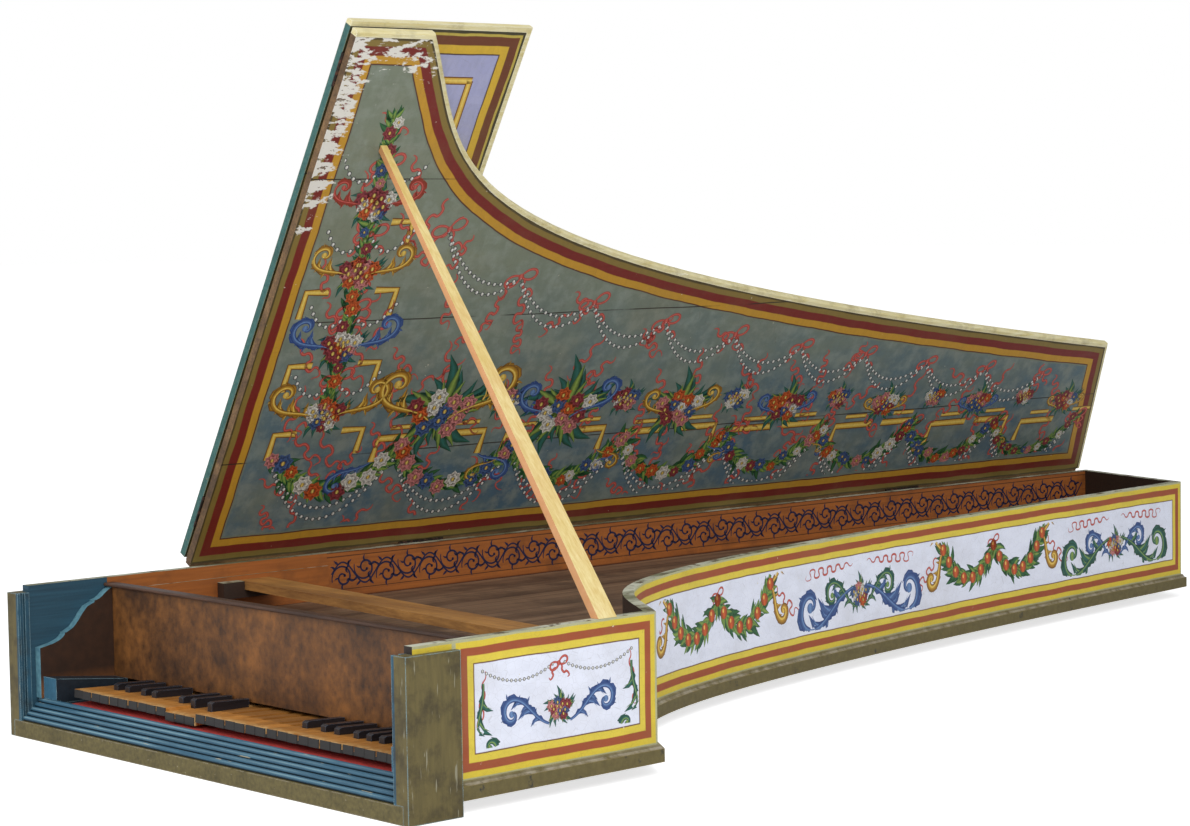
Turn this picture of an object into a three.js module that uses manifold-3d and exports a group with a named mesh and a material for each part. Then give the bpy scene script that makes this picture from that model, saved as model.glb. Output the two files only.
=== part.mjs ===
// A single-manual harpsichord in its painted case, lid up on its stick and front flap folded back.
// Millimetres. While modelling, x runs from the spine to the cheek, y from the player to the tail, z up.
// The finished group has its origin under the middle of the front rail, on the surface it stands on.
import * as THREE from "three";
import { mergeVertices } from "three/addons/utils/BufferGeometryUtils.js";
import Module from "manifold-3d";

const wasm = await Module();
wasm.setup();

// General values
const fit = 0.3;
const overrun = 2;
const degree = Math.PI / 180;
const quarter_turn = Math.PI / 2;

// Case plan
const case_width = 860;
const case_length = 2290;
const cheek_length = 412;
const cheek_splay = 15;
const tail_corner_x = 286;
const tail_corner_y = 2202;
const bentside_start_length = 271;
const bentside_start_turn = 146.7 * degree;
const bentside_end_length = 1721;
const bentside_end_turn = 97.2 * degree;
const bentside_steps = 36;

// Case heights and boards
const case_top = 205;
const case_lift = 17;
const wall_thickness = 15;
const bottom_thickness = 15;
const bearer_width = 60;
const bearer_inset = 130;
const bearer_place_shares = [0.07, 0.4, 0.82];
const base_height = 22;
const base_depth = 8;
const base_fillet = 5;

// Front frame
const frame_depth = 18;
const rail_height = 22;
const post_height = 196;
const stile_width = 17;
const side_board_thickness = 10;
const side_board_length = 81;
const groove_width = 7;
const groove_depth = 5;
const groove_setback = 4;
const reed_count = 5;
const reed_roundness = 0.85;
const reed_front = 4;
const reed_back = 34;
const reed_top = 50;
const reed_clearance = 1;

// Keywell
const nameboard_front = 143;
const nameboard_thickness = 8;
const nameboard_bottom = 69;
const cap_top = 198;
const cap_thickness = 5;
const cap_front = 137;
const cap_back = 153;
const bracket_thickness = 13;
const bracket_front = 26;
const bracket_bottom = 51.5;
const bracket_step_height = 120;
const bracket_step_length = 20;
const bracket_top = 192.4;
const bracket_quirk = 2.4;
const key_block_top = 81;
const key_block_front = 30;

// Keyboard
const natural_count = 32;
const bass_block_width = 32;
const bass_gap = 25;
const treble_block_width = 24.3;
const natural_gap = 1;
const accidental_width = 10;
const accidental_clearance = 1;
const accidental_length = 58;
const accidental_height = 9;
const accidental_rake = 4;
const key_front = 39.5;
const key_head_length = 41;
const key_top = 62.6;
const key_thickness = 11;
const bare_lever_drop = 2.5;
const key_rest_tilt = 2.3 * degree;
const sunk_key_tilt = 0.5 * degree;
const key_lever_width = 11;
const balance_y = 190;
const pin_radius = 1.1;
const pin_sides = 6;
const mortise_width = 3.2;
const mortise_length = 6;
const score_depth = 7;
const natural_nose = 1.2;
const head_wear = 2.2;
const head_wear_shares = [0.9, 0.2, 0.55, 0, 0.35, 0.1, 0.75];

// Key frame
const key_frame_front = 36;
const front_rail_depth = 62;
const front_rail_height = 14.6;
const balance_rail_width = 26;
const balance_ridge_width = 4;
const balance_chamfer = 5;
const back_rail_width = 30;
const cloth_thickness = 1.9;

// Strings' end blocks, register and soundboard
const register_y = 388;
const register_turn = -5.8 * degree;
const guide_width = 40;
const guide_thickness = 10;
const slot_width = 3.8;
const slot_length = 13;
const slot_row_offset = 9.5;
const soundboard_top = 137;
const soundboard_thickness = 3.2;
const wrestplank_thickness = 40;
const wrestplank_front = 153.5;
const nut_width = 10;
const nut_height = 11;
const nut_setback = 48;
const tuning_pin_radius = 2.4;
const tuning_pin_height = 24;
const tuning_pin_seat = 14;
const tuning_row_places = [170, 184];
const tuning_row_slope_share = 0.5;
const belly_rail_thickness = 20;
const liner_width = 14;
const liner_height = 20;

// Jackrail
const jackrail_top = 181;
const jackrail_thickness = 12;
const jackrail_width = 54;
const cleat_length = 24;
const cleat_stop_width = 36;
const cleat_shelf_thickness = 11;

// Spine lining between the nameboard and the painted band
const lining_thickness = 4;
const lining_top = 187;
const lining_back = 520;

// Lid and flap
const lid_thickness = 12;
const lid_open = 60 * degree;
const flap_length = 292;
const lid_width = 843;
const lid_cheek_length = 424;
const lid_tail_corner_x = 276;
const lid_tail_corner_y = 2190;
const lid_length = 2276;
const lid_moulding_width = 8;
const lid_moulding_fillet = 5;
const lid_moulding_turn = 60 * degree;
const flap_width = 850;
const flap_overhang = 18;

// Lid hinges
const hinge_knuckle_radius = 3.5;
const hinge_pin_radius = 1.7;
const pin_clearance = 0.1;
const hinge_leaf_thickness = 2;
const hinge_length = 84;
const hinge_case_leaf_height = 34;
const hinge_strap_length = 70;
const hinge_strap_end = 34;
const hinge_sides = 16;
const hinge_place_shares = [0.31, 0.78];

// Flap hinges
const flap_knuckle_radius = 2.4;
const flap_pin_radius = 1.1;
const flap_leaf_thickness = 1.6;
const flap_hinge_length = 50;
const flap_leaf_reach = 26;
const flap_hinge_place_shares = [0.093, 0.907];

// Prop stick
const stick_foot_setback = 38;
const stick_tip_setback = 103;
const stick_lid_reach = 675;
const stick_foot_width = 30;
const stick_foot_depth = 14;
const stick_tip_width = 11;
const stick_tip_depth = 9;

// Colours
const finish = {
  lilac: { color: 0xc8cfe6, roughness: 0.6 },
  olive: { color: 0x6a6034, roughness: 0.65 },
  blue: { color: 0x2f6078, roughness: 0.55 },
  umber: { color: 0x6d4a2e, roughness: 0.7 },
  pine: { color: 0xd9b878, roughness: 0.7 },
  bare: { color: 0x8a6a4c, roughness: 0.75 },
  dark: { color: 0x2a2320, roughness: 0.6 },
  ochre: { color: 0xc09040, roughness: 0.6 },
  grey_green: { color: 0x76827a, roughness: 0.65 },
  red_cloth: { color: 0xa83a34, roughness: 0.95 },
  natural: { color: 0xd09a50, roughness: 0.5 },
  ebony: { color: 0x1b1a1c, roughness: 0.45 },
  iron: { color: 0x3a3531, roughness: 0.5, metalness: 0.9 },
};

// Geometry helpers
function solid(geometry) {
  const bare = geometry.clone();
  bare.deleteAttribute("normal");
  bare.deleteAttribute("uv");
  const merged = mergeVertices(bare, 1e-4);
  return new wasm.Manifold(
    new wasm.Mesh({
      numProp: 3,
      vertProperties: merged.attributes.position.array,
      triVerts: new Uint32Array(merged.index.array),
    }),
  );
}

function geometry_of(body) {
  const mesh = body.getMesh();
  const geometry = new THREE.BufferGeometry();
  geometry.setAttribute("position", new THREE.BufferAttribute(new Float32Array(mesh.vertProperties), 3));
  geometry.setIndex(new THREE.BufferAttribute(new Uint32Array(mesh.triVerts), 1));
  geometry.computeVertexNormals();
  return geometry;
}

function joined(...bodies) {
  return bodies.reduce((whole, body) => whole.add(body));
}

function cut(body, ...tools) {
  return tools.reduce((rest, tool) => rest.subtract(tool), body);
}

function box([x0, x1], [y0, y1], [z0, z1]) {
  const geometry = new THREE.BoxGeometry(x1 - x0, y1 - y0, z1 - z0);
  geometry.translate((x0 + x1) / 2, (y0 + y1) / 2, (z0 + z1) / 2);
  return solid(geometry);
}

// A board with its outline in plan, from one height to another
function board(outline, low, high) {
  const shape = new THREE.Shape(outline.map(([x, y]) => new THREE.Vector2(x, y)));
  const geometry = new THREE.ExtrudeGeometry(shape, { depth: high - low, bevelEnabled: false });
  geometry.translate(0, 0, low);
  return solid(geometry);
}

// A section of y and z drawn out along x
function bar_along_x(section, x0, x1) {
  const shape = new THREE.Shape(section.map(([y, z]) => new THREE.Vector2(y, z)));
  const geometry = new THREE.ExtrudeGeometry(shape, { depth: x1 - x0, bevelEnabled: false });
  geometry.applyMatrix4(new THREE.Matrix4().set(0, 0, 1, x0, 1, 0, 0, 0, 0, 1, 0, 0, 0, 0, 0, 1));
  return solid(geometry);
}

// A round bar along one axis, from one end to the other
function rod(axis, radius, sides, centre, from, to) {
  const geometry = new THREE.CylinderGeometry(radius, radius, to - from, sides);
  const [a, b] = centre;
  const middle = (from + to) / 2;
  if (axis === "x") {
    geometry.rotateZ(Math.PI / 2).translate(middle, a, b);
  } else if (axis === "y") {
    geometry.translate(a, middle, b);
  } else {
    geometry.rotateX(Math.PI / 2).translate(a, b, middle);
  }
  return solid(geometry);
}

// A four-sided bar between two rectangles, each given by its four corners in the same order
function tapered_bar(start, end) {
  const corners = [...start, ...end].flatMap((corner) => [corner.x, corner.y, corner.z]);
  const faces = [0, 3, 2, 0, 2, 1, 4, 5, 6, 4, 6, 7];
  for (let side = 0; side < 4; side++) {
    const next = (side + 1) % 4;
    faces.push(side, next, next + 4, side, next + 4, side + 4);
  }
  const geometry = new THREE.BufferGeometry();
  geometry.setAttribute("position", new THREE.Float32BufferAttribute(corners, 3));
  geometry.setIndex(faces);
  return solid(geometry);
}

// Plan paths: the outer face of the case, from the front of the cheek round to the front of the spine
function heading(from, to) {
  return to.clone().sub(from).normalize();
}

function outward(direction) {
  return new THREE.Vector2(direction.y, -direction.x);
}

function cheek_outer_x(y) {
  return case_width - (cheek_splay * y) / cheek_length;
}

function cheek_inner_x(y) {
  return cheek_outer_x(y) - wall_thickness;
}

function polar(angle, length) {
  return new THREE.Vector2(Math.cos(angle) * length, Math.sin(angle) * length);
}

// The bentside's curve between two corners
function bentside_between(start, end) {
  const curve = new THREE.CubicBezierCurve(
    start,
    start.clone().add(polar(bentside_start_turn, bentside_start_length)),
    end.clone().sub(polar(bentside_end_turn, bentside_end_length)),
    end,
  );
  return curve.getPoints(bentside_steps);
}

const cheek_front = new THREE.Vector2(cheek_outer_x(0), 0);
const cheek_back = new THREE.Vector2(cheek_outer_x(cheek_length), cheek_length);
const tail_corner = new THREE.Vector2(tail_corner_x, tail_corner_y);
const spine_back = new THREE.Vector2(0, case_length);
const spine_front = new THREE.Vector2(0, 0);
const cheek_leg = [cheek_front, cheek_back];
const bentside_leg = bentside_between(cheek_back, tail_corner);
const tail_leg = [tail_corner, spine_back];
const spine_leg = [spine_back, spine_front];

// The points of one or more legs, each with the direction in which an offset grows there.
// The ends are mitred against the legs before and after, and drawn back by half the joint's clearance.
function stations(legs, leg_before, leg_after) {
  const points = legs.flatMap((leg, i) => (i ? leg.slice(1) : leg));
  const before = leg_before && heading(leg_before.at(-2), leg_before.at(-1));
  const after = leg_after && heading(leg_after[0], leg_after[1]);
  return points.map((point, i) => {
    const arriving = i ? heading(points[i - 1], point) : before;
    const leaving = i < points.length - 1 ? heading(point, points[i + 1]) : after;
    const a = outward(arriving || leaving);
    const b = outward(leaving || arriving);
    const at = point.clone();
    if (i === 0 && before) at.addScaledVector(leaving, fit);
    if (i === points.length - 1 && after) at.addScaledVector(arriving, -fit);
    return { at, mitre: a.clone().add(b).divideScalar(1 + a.dot(b)) };
  });
}

// A strip that keeps one section all along its stations; the section lists distances outward and heights
function strip(route, section) {
  const ring = section.length;
  const positions = route.flatMap(({ at, mitre }) =>
    section.flatMap(([out, z]) => [at.x + mitre.x * out, at.y + mitre.y * out, z]),
  );
  const end_faces = THREE.ShapeUtils.triangulateShape(
    section.map(([out, z]) => new THREE.Vector2(out, z)),
    [],
  );
  const last = (route.length - 1) * ring;
  const faces = end_faces.flatMap(([a, b, c]) => [a, b, c, last + a, last + c, last + b]);
  for (let i = 0; i < route.length - 1; i++) {
    for (let j = 0; j < ring; j++) {
      const a = i * ring + j;
      const b = i * ring + ((j + 1) % ring);
      faces.push(a, a + ring, b + ring, a, b + ring, b);
    }
  }
  const geometry = new THREE.BufferGeometry();
  geometry.setAttribute("position", new THREE.Float32BufferAttribute(positions, 3));
  geometry.setIndex(faces);
  return solid(geometry);
}

// The points of a route, drawn in by a distance
function drawn_in(route, inset) {
  return route.map(({ at, mitre }) => [at.x - mitre.x * inset, at.y - mitre.y * inset]);
}

// The plan of the case at a distance inside its outer face
function plan_inside(inset) {
  return drawn_in(stations([cheek_leg, bentside_leg, tail_leg, spine_leg]), inset);
}

// The part of a plan outline that lies behind (side 1) or in front of (side -1) a line across the case
function clipped(outline, line_y, side) {
  const beyond = ([x, y]) => (y - line_y(x)) * side;
  return outline.flatMap((point, i) => {
    const next = outline[(i + 1) % outline.length];
    const here = beyond(point);
    const there = beyond(next);
    const kept = here >= 0 ? [point] : [];
    if (here * there < 0) {
      const share = here / (here - there);
      kept.push([point[0] + (next[0] - point[0]) * share, point[1] + (next[1] - point[1]) * share]);
    }
    return kept;
  });
}

// A line across the case that runs with the register, at a distance behind its middle
function register_line(offset) {
  return (x) => register_y + x * Math.tan(register_turn) + offset / Math.cos(register_turn);
}

function straight_line(y) {
  return () => y;
}

function across(outline, front_line, back_line) {
  return clipped(clipped(outline, front_line, 1), back_line, -1);
}

const inside = plan_inside(wall_thickness + fit);

// The scene
const harpsichord = new THREE.Group();
harpsichord.position.set(-case_width / 2, -frame_depth / 2, 0);

function add(parent, name, body, look) {
  const material = new THREE.MeshStandardMaterial(look);
  const mesh = new THREE.Mesh(geometry_of(body), material);
  mesh.name = name;
  parent.add(mesh);
  return mesh;
}

// Bottom boards with their cross bearers
const bottom_top = case_lift + bottom_thickness;
const bottom_plan = clipped(inside, straight_line(frame_depth + fit), 1);
const bearers = bearer_place_shares.map((share) => {
  const middle = case_length * share;
  const outline = across(
    plan_inside(bearer_inset),
    straight_line(middle - bearer_width / 2),
    straight_line(middle + bearer_width / 2),
  );
  return board(outline, 0, case_lift + overrun);
});
add(harpsichord, "bottom_boards", joined(board(bottom_plan, case_lift, bottom_top), ...bearers), finish.bare);

// Walls, mitred where they meet
const wall_section = [
  [-wall_thickness, case_lift],
  [0, case_lift],
  [0, case_top],
  [-wall_thickness, case_top],
];
const cleat_top = jackrail_top - jackrail_thickness - fit;

// A cleat on a wall: a shelf under the jackrail's end and a stop in front of it
function cleat(x_wall, x_inner) {
  const ends = [Math.min(x_wall, x_inner), Math.max(x_wall, x_inner)];
  const outline = [
    [ends[0], 0],
    [ends[1], 0],
    [ends[1], case_length],
    [ends[0], case_length],
  ];
  const half = jackrail_width / 2;
  const shelf = across(outline, register_line(-half - cleat_stop_width), register_line(half));
  const stop = across(outline, register_line(-half - cleat_stop_width), register_line(-half - fit));
  return joined(
    board(shelf, cleat_top - cleat_shelf_thickness, cleat_top),
    board(stop, cleat_top - cleat_shelf_thickness, jackrail_top),
  );
}

const lining = box(
  [wall_thickness - overrun, wall_thickness + lining_thickness],
  [cap_back + fit, lining_back],
  [soundboard_top + fit, lining_top],
);
const bass_cleat = cleat(wall_thickness - overrun, wall_thickness + cleat_length);
const register_at_cheek = register_line(0)(case_width);
const treble_cleat_end = cheek_inner_x(register_at_cheek) - cleat_length;
const treble_cleat = cleat(treble_cleat_end, cheek_inner_x(register_at_cheek) + overrun * 2);
const spine_strip = strip(stations([spine_leg], tail_leg), wall_section);
const cheek_strip = strip(stations([cheek_leg], null, bentside_leg), wall_section);
const front_frame_room = box([-overrun, case_width + overrun], [-overrun, frame_depth + fit], [0, case_top + overrun]);
const spine_wall = cut(joined(spine_strip, lining, bass_cleat), front_frame_room);
const cheek_wall = cut(joined(cheek_strip, treble_cleat), front_frame_room);
add(harpsichord, "spine_wall", spine_wall, finish.lilac);
add(harpsichord, "cheek_wall", cheek_wall, finish.lilac);
const bentside_stations = stations([bentside_leg], cheek_leg, tail_leg);
add(harpsichord, "bentside_wall", strip(bentside_stations, wall_section), finish.lilac);
add(harpsichord, "tail_wall", strip(stations([tail_leg], bentside_leg, spine_leg), wall_section), finish.lilac);

// Base moulding round the outside, from the right side board to the left one
function arc_points(centre_out, centre_z, radius, from, to, steps) {
  return Array.from({ length: steps + 1 }, (_, i) => {
    const angle = from + ((to - from) * i) / steps;
    return [centre_out + Math.cos(angle) * radius, centre_z + Math.sin(angle) * radius];
  });
}

const base_top = case_lift + base_height;
const base_section = [
  [fit, case_lift],
  [base_depth, case_lift],
  ...arc_points(base_depth, base_top, base_fillet, -quarter_turn, -quarter_turn * 2, 3),
  [fit, base_top],
];
const base_start = new THREE.Vector2(cheek_outer_x(side_board_length + fit), side_board_length + fit);
const base_end = new THREE.Vector2(0, side_board_length + fit);
const base_route = stations([[base_start, cheek_back], bentside_leg, tail_leg, [spine_back, base_end]]);
add(harpsichord, "base_moulding", strip(base_route, base_section), finish.olive);

// Front frame: the rail, and a corner post at each side with a groove down its inner face
const front_rail = box([fit, case_width - fit], [0, frame_depth], [0, rail_height]);
add(harpsichord, "front_rail", front_rail, finish.olive);

function corner_post(side) {
  const outer = side > 0 ? case_width : 0;
  const span = (near, far) => [outer + side * near, outer + side * far].sort((a, b) => a - b);
  const side_board = box(span(fit, side_board_thickness), [0, side_board_length], [0, post_height]);
  const stile = box(span(-stile_width, fit + overrun), [0, frame_depth], [rail_height + fit, post_height]);
  const groove = box(
    span(-stile_width - overrun, -stile_width + groove_depth),
    [groove_setback, groove_setback + groove_width],
    [rail_height, post_height + overrun],
  );
  return cut(joined(side_board, stile), groove);
}

add(harpsichord, "left_corner_post", corner_post(-1), finish.olive);
add(harpsichord, "right_corner_post", corner_post(1), finish.olive);

// Reeded moulding that slopes up from the rail to the keys
function reeded_section() {
  const rise = new THREE.Vector2(reed_front - reed_back, rail_height + fit - reed_top);
  const reed = rise.clone().divideScalar(reed_count);
  const bulge = outward(reed.clone().normalize()).multiplyScalar((reed.length() / 2) * reed_roundness);
  const points = [];
  for (let i = 0; i < reed_count; i++) {
    for (let step = 0; step <= 4; step++) {
      const angle = (Math.PI * step) / 4;
      const along = i + (1 - Math.cos(angle)) / 2;
      points.push([
        reed_back + reed.x * along + bulge.x * Math.sin(angle),
        reed_top + reed.y * along + bulge.y * Math.sin(angle),
      ]);
    }
  }
  const kept = points.filter((point, i) => i === 0 || i % 5 !== 0);
  return [
    ...kept,
    [frame_depth, rail_height + fit],
    [frame_depth, bottom_top + fit],
    [reed_back, bottom_top + fit],
  ];
}

const reed_ends = [stile_width + fit, case_width - stile_width - fit];
add(harpsichord, "reeded_moulding", bar_along_x(reeded_section(), ...reed_ends), finish.blue);

// Keywell brackets, with an ogee from the front step up to the cap
function bracket_section() {
  const back = nameboard_front - fit;
  const step_end = bracket_front + bracket_step_length;
  const shape = new THREE.Path();
  shape.moveTo(step_end, bracket_step_height + bracket_step_length / 5);
  const span_y = back - step_end;
  const span_z = bracket_top - bracket_step_height - bracket_step_length / 5;
  const point = (share_y, share_z) => [
    step_end + span_y * share_y,
    bracket_top - span_z * (1 - share_z),
  ];
  const quirk = () => {
    const { x, y } = shape.currentPoint;
    shape.lineTo(x, y + bracket_quirk);
    shape.lineTo(x + bracket_quirk, y + bracket_quirk);
  };
  shape.bezierCurveTo(...point(0.1, 0.05), ...point(0.14, 0.06), ...point(0.2, 0.16));
  quirk();
  shape.bezierCurveTo(...point(0.46, 0.28), ...point(0.46, 0.68), ...point(0.7, 0.74));
  quirk();
  shape.bezierCurveTo(...point(0.84, 0.8), ...point(0.86, 0.94), ...point(1, 1));
  const edge = shape.getPoints(5).map((p) => [p.x, p.y]);
  return [
    [back, bracket_bottom],
    ...edge.reverse(),
    [bracket_front, bracket_step_height],
    [bracket_front, bracket_bottom],
  ];
}

const bracket_body = bar_along_x(bracket_section(), 0, bracket_thickness);
const left_bracket = add(harpsichord, "left_bracket", bracket_body, finish.blue);
left_bracket.position.x = wall_thickness + fit;
const right_bracket = add(harpsichord, "right_bracket", bracket_body, finish.blue);
const splay_turn = Math.atan2(cheek_splay, cheek_length);
right_bracket.rotation.z = splay_turn;
right_bracket.position.x = cheek_inner_x(0) - (bracket_thickness + fit) / Math.cos(splay_turn);
right_bracket.position.y = -bracket_thickness * Math.sin(splay_turn);

// Nameboard and the cap along its top
const behind_bracket = across(
  inside,
  straight_line(nameboard_front),
  straight_line(nameboard_front + nameboard_thickness),
);
const nameboard_top = cap_top - cap_thickness - fit;
add(harpsichord, "nameboard", board(behind_bracket, nameboard_bottom, nameboard_top), finish.umber);
const cap_radius = cap_thickness / 2;
const cap_middle = cap_top - cap_radius;
const cap_section = [
  [cap_back, cap_top - cap_thickness],
  [cap_back, cap_top],
  ...arc_points(cap_front + cap_radius, cap_middle, cap_radius, quarter_turn, quarter_turn * 3, 6),
];
const cap_bar = bar_along_x(cap_section.reverse(), 0, case_width);
const cap_room = board(across(inside, straight_line(0), straight_line(cap_back + overrun)), 0, case_top);
add(harpsichord, "nameboard_cap", cap_bar.intersect(cap_room), finish.umber);

// Key places: 32 naturals from the low B, and the accidentals, some of them lost
const natural_letters = "BCDEFGA";
const accidental_offset_shares = { C: -0.13, D: 0.11, F: -0.15, G: 0, A: 0.13 };
const lost_accidentals = ["A1", "G2", "A2", "C3", "D3", "F3", "G3"];

const frame_left = wall_thickness + bracket_thickness + fit * 2;
const frame_right = cheek_inner_x(nameboard_front) - bracket_thickness - fit * 4;
const keyboard_start = frame_left + bass_block_width + bass_gap;
const keyboard_end = frame_right - treble_block_width - fit;
const natural_pitch = (keyboard_end - keyboard_start) / natural_count;
const naturals = Array.from({ length: natural_count }, (_, i) => {
  const letter = natural_letters[i % 7];
  const octave = Math.floor((i + 6) / 7);
  return { place: i, letter, octave, left: keyboard_start + i * natural_pitch };
});
const accidentals = naturals
  .slice(0, -1)
  .filter(({ letter }) => letter in accidental_offset_shares)
  .map(({ letter, octave, left }) => ({
    name: letter + octave,
    letter,
    octave,
    centre: left + natural_pitch * (1 + accidental_offset_shares[letter]),
  }));

// A natural's tail fills the room between its neighbouring accidentals
function tail_span({ left }) {
  const right = left + natural_pitch;
  const reach = accidental_width / 2 + accidental_clearance;
  const on_left = accidentals.find(({ centre }) => centre > left - reach && centre < left + natural_pitch / 2);
  const on_right = accidentals.find(({ centre }) => centre < right + reach && centre > right - natural_pitch / 2);
  return [
    on_left ? on_left.centre + reach : left + natural_gap / 2,
    on_right ? on_right.centre - reach : right - natural_gap / 2,
  ];
}

function lever_centre(natural) {
  const [low, high] = tail_span(natural);
  return (low + high) / 2;
}

const lever_centres = [...naturals.map(lever_centre), ...accidentals.map(({ centre }) => centre)].sort(
  (a, b) => a - b,
);
const key_bottom = key_top - key_thickness;
const head_back = key_front + key_head_length;
const guide_rear_row = register_line(slot_row_offset);

function lever_end(x) {
  return guide_rear_row(x) + slot_length / 2;
}

function mortise(centre) {
  return box(
    [centre - mortise_width / 2, centre + mortise_width / 2],
    [balance_y - mortise_length / 2, balance_y + mortise_length / 2],
    [key_bottom - overrun, key_top + overrun],
  );
}

// A key body built level, turned about the balance rail so that its front stands up by an angle
function tilted(body, angle) {
  return body
    .translate([0, -balance_y, -key_bottom])
    .rotate([-angle / degree, 0, 0])
    .translate([0, balance_y, key_bottom]);
}

// The lever of a lost accidental, held to the heads before it by the strip under their scored joints
function bare_lever({ centre }) {
  const span = [centre - accidental_width / 2, centre + accidental_width / 2];
  const lever_front = head_back + accidental_clearance;
  return joined(
    box(span, [lever_front, lever_end(centre)], [key_bottom, key_top - bare_lever_drop]),
    box(span, [head_back - overrun, lever_front + overrun], [key_bottom, key_top - score_depth]),
  );
}

// Naturals that share one lever board: heads side by side, each worn back a little differently in front
// and with its own tail and lever
function natural_group(group) {
  const first = group[0].left + natural_gap / 2;
  const last = group.at(-1).left + natural_pitch - natural_gap / 2;
  const tails = group.toReversed().flatMap((natural) => {
    const [low, high] = tail_span(natural);
    const middle = lever_centre(natural);
    const half = Math.min(key_lever_width, high - low) / 2;
    const end = lever_end(middle);
    const waist = nameboard_front + nameboard_thickness;
    return [
      [high, head_back],
      [high, waist],
      [middle + half, waist],
      [middle + half, end],
      [middle - half, end],
      [middle - half, waist],
      [low, waist],
      [low, head_back],
    ];
  });
  const heads = group.flatMap((natural) => {
    const low = natural.left + natural_gap / 2;
    const high = natural.left + natural_pitch - natural_gap / 2;
    const front = key_front + head_wear * head_wear_shares[natural.place % head_wear_shares.length];
    return [
      [low, front + natural_nose],
      [low + natural_nose, front],
      [high - natural_nose, front],
      [high, front + natural_nose],
    ];
  });
  const outline = [
    ...heads,
    [last, head_back],
    ...tails,
    [first, head_back],
  ].filter(([x, y], i, all) => i === 0 || x !== all[i - 1][0] || y !== all[i - 1][1]);
  const scores = group.slice(1).map(({ left }) =>
    box(
      [left - natural_gap / 2, left + natural_gap / 2],
      [key_front - overrun, head_back + overrun],
      [key_top - score_depth, key_top + overrun],
    ),
  );
  const bare = accidentals.filter(
    ({ name, centre }) => lost_accidentals.includes(name) && centre > first && centre < last,
  );
  const mortises = [...group.map(lever_centre), ...bare.map(({ centre }) => centre)].map(mortise);
  return cut(joined(board(outline, key_bottom, key_top), ...bare.map(bare_lever)), ...scores, ...mortises);
}

// An accidental: a lever and, over it, a raised black block with a raked front
function accidental_key({ centre }) {
  const half = accidental_width / 2;
  const lever_front = head_back + accidental_clearance;
  const lever = box([centre - half, centre + half], [lever_front, lever_end(centre)], [key_bottom, key_top]);
  const top = key_top + accidental_height;
  const block = bar_along_x(
    [
      [lever_front, key_top - overrun],
      [lever_front + accidental_length, key_top - overrun],
      [lever_front + accidental_length, top],
      [lever_front + accidental_rake, top],
      [lever_front, top - accidental_rake / 2],
    ],
    centre - half,
    centre + half,
  );
  return cut(joined(lever, block), mortise(centre));
}

const group_starts = ["B0", "F1", "C2", "E2", "A2", "F3", "C4", "F4", "C5"];
const sunk_group = "E2";
const groups = [];
for (const natural of naturals) {
  if (group_starts.includes(natural.letter + natural.octave)) groups.push([]);
  groups.at(-1).push(natural);
}
for (const group of groups) {
  const letters = group.map(({ letter }) => letter.toLowerCase()).join("");
  const tilt = group[0].letter + group[0].octave === sunk_group ? sunk_key_tilt : key_rest_tilt;
  const body = tilted(natural_group(group), tilt);
  add(harpsichord, `naturals_${letters}_${group[0].octave}`, body, finish.natural);
}
for (const key of accidentals.filter(({ name }) => !lost_accidentals.includes(name))) {
  const body = tilted(accidental_key(key), key_rest_tilt);
  add(harpsichord, `accidental_${key.letter.toLowerCase()}_${key.octave}`, body, finish.ebony);
}

// Key frame: front, balance and back rails between side rails, with the end blocks beside the keys
const frame_floor = bottom_top + fit;
const front_rail_top = frame_floor + front_rail_height;
const balance_top = key_bottom - fit;
const left_frame_x = [frame_left, frame_left + bass_block_width];
const right_frame_x = [keyboard_end + fit, frame_right];
const back_rail_front = -guide_width - back_rail_width;
const frame_plan = [
  [left_frame_x[0], 0],
  [right_frame_x[1], 0],
  [right_frame_x[1], case_length],
  [left_frame_x[0], case_length],
];
// The back rail's top is planed to the slope of the resting keys
const under_keys = tilted(box([0, case_width], [0, case_length], [0, key_bottom - fit]), key_rest_tilt);
const back_rail = board(
  across(frame_plan, register_line(back_rail_front), register_line(back_rail_front + back_rail_width)),
  frame_floor,
  key_bottom,
).intersect(under_keys);
const side_rails = [left_frame_x, right_frame_x].map(([low, high]) => {
  const outline = [
    [low, key_frame_front],
    [high, key_frame_front],
    [high, case_length],
    [low, case_length],
  ];
  return board(clipped(outline, register_line(back_rail_front + back_rail_width), -1), frame_floor, front_rail_top);
});
const key_blocks = [left_frame_x, right_frame_x].map((span) =>
  bar_along_x(
    [
      [key_block_front, reed_top + reed_clearance],
      [nameboard_front - fit, reed_top + reed_clearance],
      [nameboard_front - fit, nameboard_bottom],
      [key_block_front, key_block_top],
    ],
    ...span,
  ),
);
const block_roots = [left_frame_x, right_frame_x].map((span) =>
  box(span, [key_frame_front, nameboard_front - fit], [frame_floor, reed_top + overrun]),
);
const balance_rail = bar_along_x(
  [
    [balance_y - balance_rail_width / 2, frame_floor],
    [balance_y + balance_rail_width / 2, frame_floor],
    [balance_y + balance_rail_width / 2, balance_top - balance_chamfer],
    [balance_y + balance_ridge_width / 2, balance_top],
    [balance_y - balance_ridge_width / 2, balance_top],
    [balance_y - balance_rail_width / 2, balance_top - balance_chamfer],
  ],
  left_frame_x[0],
  right_frame_x[1],
);
const key_front_rail = box(
  [left_frame_x[0], right_frame_x[1]],
  [key_frame_front, key_frame_front + front_rail_depth],
  [frame_floor, front_rail_top],
);
const balance_pins = lever_centres.map((x) =>
  rod("z", pin_radius, pin_sides, [x, balance_y], balance_top - overrun, key_top - overrun),
);
add(
  harpsichord,
  "key_frame",
  joined(key_front_rail, balance_rail, back_rail, ...side_rails, ...key_blocks, ...block_roots, ...balance_pins),
  finish.blue,
);
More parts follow.
